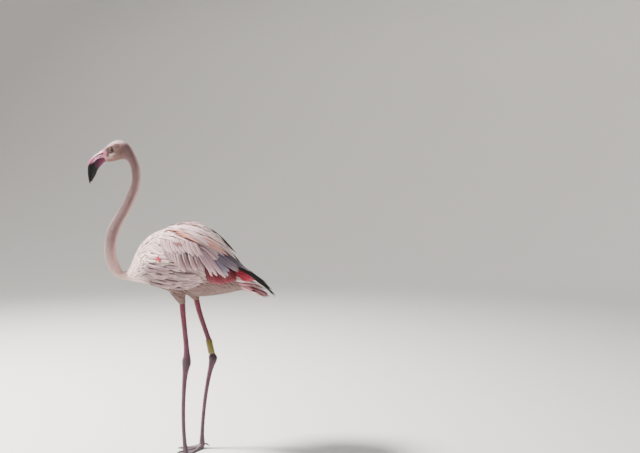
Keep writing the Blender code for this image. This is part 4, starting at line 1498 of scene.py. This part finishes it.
# %% Scutes across the toes
TOES = ("inner", "middle", "outer")
paths, ups = [], []
for label in SIDES.values():
    bone = coordinates(bpy.data.objects["tarsus_" + label].data)
    joint = bone[bone[:, 2] < bone[:, 2].min() + 0.004].mean(axis=0) * (1, 1, 0)
    for toe in TOES:
        tip = np.array(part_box(f"claw_{label}_{toe}")).mean(axis=0) * (1, 1, 0)
        length = np.linalg.norm(tip - joint)
        way = (tip - joint) / length
        cross = np.array([-way[1], way[0], 0])
        for run in np.arange(0.010, length - 0.004, 0.0034):
            width = np.interp(run / length, [0, 1], [0.0039, 0.0024])
            row = [joint + way * run + cross * width * t + (0, 0, 0.04)
                   for t in np.linspace(-1, 1, SCUTE["rings"])]
            hits = [bare[0].ray_cast(Vector(p), (0, 0, -1)) for p in row]
            if all(h[0] is not None and h[0].z > 0.0032 for h in hits):
                paths.append([h[0][:] for h in hits])
                ups.append([h[1][:] for h in hits])
plates("toe_scutes", SCUTE, np.array(paths), np.array(ups), np.full(len(paths), 1.6),
       (0.5, 0.9, 1.0, 1.0, 1.0, 0.9, 0.5), 58, 0.3)


# %% [markdown]
# ## Claws and ring
# The claws are short, blunt and dark.  The ring is a strip of yellow plastic that was
# wrapped round the leg and overlaps itself, so it is spun a little further than one turn
# while its radius grows by the thickness of the strip.

# %% Claws
claw_horn, tree, shader = start_material("keratin, worn claw horn", Roughness=0.35)
place = add(tree, "TexCoord").outputs["Object"]
streak = add(tree, "Mapping", {"Vector": place, "Scale": (900.0, 160.0, 900.0)})
grain = add(tree, "TexNoise", {"Vector": streak.outputs["Vector"], "Scale": 1.0,
                               "Detail": 3.0}).outputs["Fac"]
colour = add(tree, "Mix", {"Factor": grain, "A": rgba("#2A2224"), "B": rgba("#5B4A4B")},
             data_type="RGBA")
tree.links.new(colour.outputs["Result"], shader.inputs["Base Color"])
roughen(tree, shader, grain, (0.25, 0.5), (0.15, 0.0002))
CLAWS = [f"claw_{label}_{toe}" for label in SIDES.values() for toe in TOES]
CLAWS += ["hallux_claw_left", "hallux_claw_right"]
for node in CLAWS:
    mesh = largest_shell(remeshed(joined_copy([node], 0.0), 0.0004, 6))
    smooth(mesh)
    add_piece("horn_" + node, mesh, claw_horn, "claw_horn", node)
print("claws:", len(CLAWS))

# %% Ring
ring_plastic, tree, shader = start_material("PVC, wrapped yellow strip", Roughness=0.38,
                                            IOR=1.53)
place = add(tree, "TexCoord").outputs["Object"]
dirt = add(tree, "TexNoise", {"Vector": place, "Scale": 160.0, "Detail": 5.0})
amount = add(tree, "MapRange", {"Value": dirt.outputs["Fac"], "From Min": 0.45,
                                "From Max": 0.7, "To Max": 0.75})
colour = add(tree, "Mix", {"Factor": amount.outputs["Result"], "A": rgba("#6A5F08"),
                           "B": rgba("#26200C")}, data_type="RGBA")
tree.links.new(colour.outputs["Result"], shader.inputs["Base Color"])
scuff = add(tree, "TexNoise", {"Vector": place, "Scale": 900.0, "Detail": 2.0})
roughen(tree, shader, scuff.outputs["Fac"], (0.3, 0.52), (0.12, 0.0002), (0.35, 0.65))
print("made", claw_horn.name, "and", ring_plastic.name)

# %% Wrap the strip round the leg
low, high = (np.array(c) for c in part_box("leg_ring"))
ring_points = coordinates(bpy.data.objects["leg_ring"].data)
foot_end = ring_points[ring_points[:, 2] < low[2] + 0.006].mean(axis=0)
head_end = ring_points[ring_points[:, 2] > high[2] - 0.006].mean(axis=0)
tilt = unit(head_end - foot_end)
INNER, STRIP, TURN, LAP_HEIGHT = 0.0095, 0.0008, math.radians(415), 0.00095
LAP_START, LAP_RISE, SEAM = math.radians(300), math.radians(55), math.radians(205)
TALL = float(np.linalg.norm(head_end - foot_end)) - 0.0005
bm = bmesh.new()
profile = [bm.verts.new((INNER + dx, 0, dz)) for dx, dz in
           ((0, 0), (STRIP, 0), (STRIP, TALL), (0, TALL))]
bm.faces.new(profile)
bmesh.ops.bevel(bm, geom=profile, offset=0.00022, segments=2, affect="VERTICES",
                profile=0.5, material=-1)
cap, steps, radius = bm.faces[:], 104, INNER
for k in range(steps):
    grown = bmesh.ops.extrude_face_region(bm, geom=cap)["geom"]
    fresh = only(BMVert, grown)
    bmesh.ops.rotate(bm, cent=(0, 0, 0), verts=fresh,
                     matrix=Matrix.Rotation(TURN / steps, 3, "Z"))
    # past the lap's start the strip climbs on to its own first turn
    angle = TURN * (k + 1) / steps
    climb = np.clip((angle - LAP_START) / LAP_RISE, 0, 1)
    wider = INNER + LAP_HEIGHT * climb * climb * (3 - 2 * climb)
    bmesh.ops.translate(bm, verts=fresh, vec=Vector((math.cos(angle), math.sin(angle), 0))
                        * (wider - radius))
    radius = wider
    if k:
        bmesh.ops.delete(bm, geom=cap, context="FACES_ONLY")
    cap = only(BMFace, grown)
bmesh.ops.recalc_face_normals(bm, faces=bm.faces)
for face in bm.faces:
    face.smooth = len(face.verts) == 4
bmesh.ops.rotate(bm, cent=(0, 0, 0), verts=bm.verts,
                 matrix=Matrix.Rotation(SEAM, 3, "Z"))
bmesh.ops.rotate(bm, cent=(0, 0, 0), verts=bm.verts,
                 matrix=Vector(tilt).to_track_quat("Z", "Y").to_matrix())
bmesh.ops.translate(bm, vec=foot_end, verts=bm.verts)
ring_mesh = mesh_from(bm, "leg_band")
add_piece("leg_band", ring_mesh, ring_plastic, "ring", "leg_ring")
print("ring:", len(ring_mesh.polygons), "faces, from", (low / MM).round(1), "to",
      (high / MM).round(1))
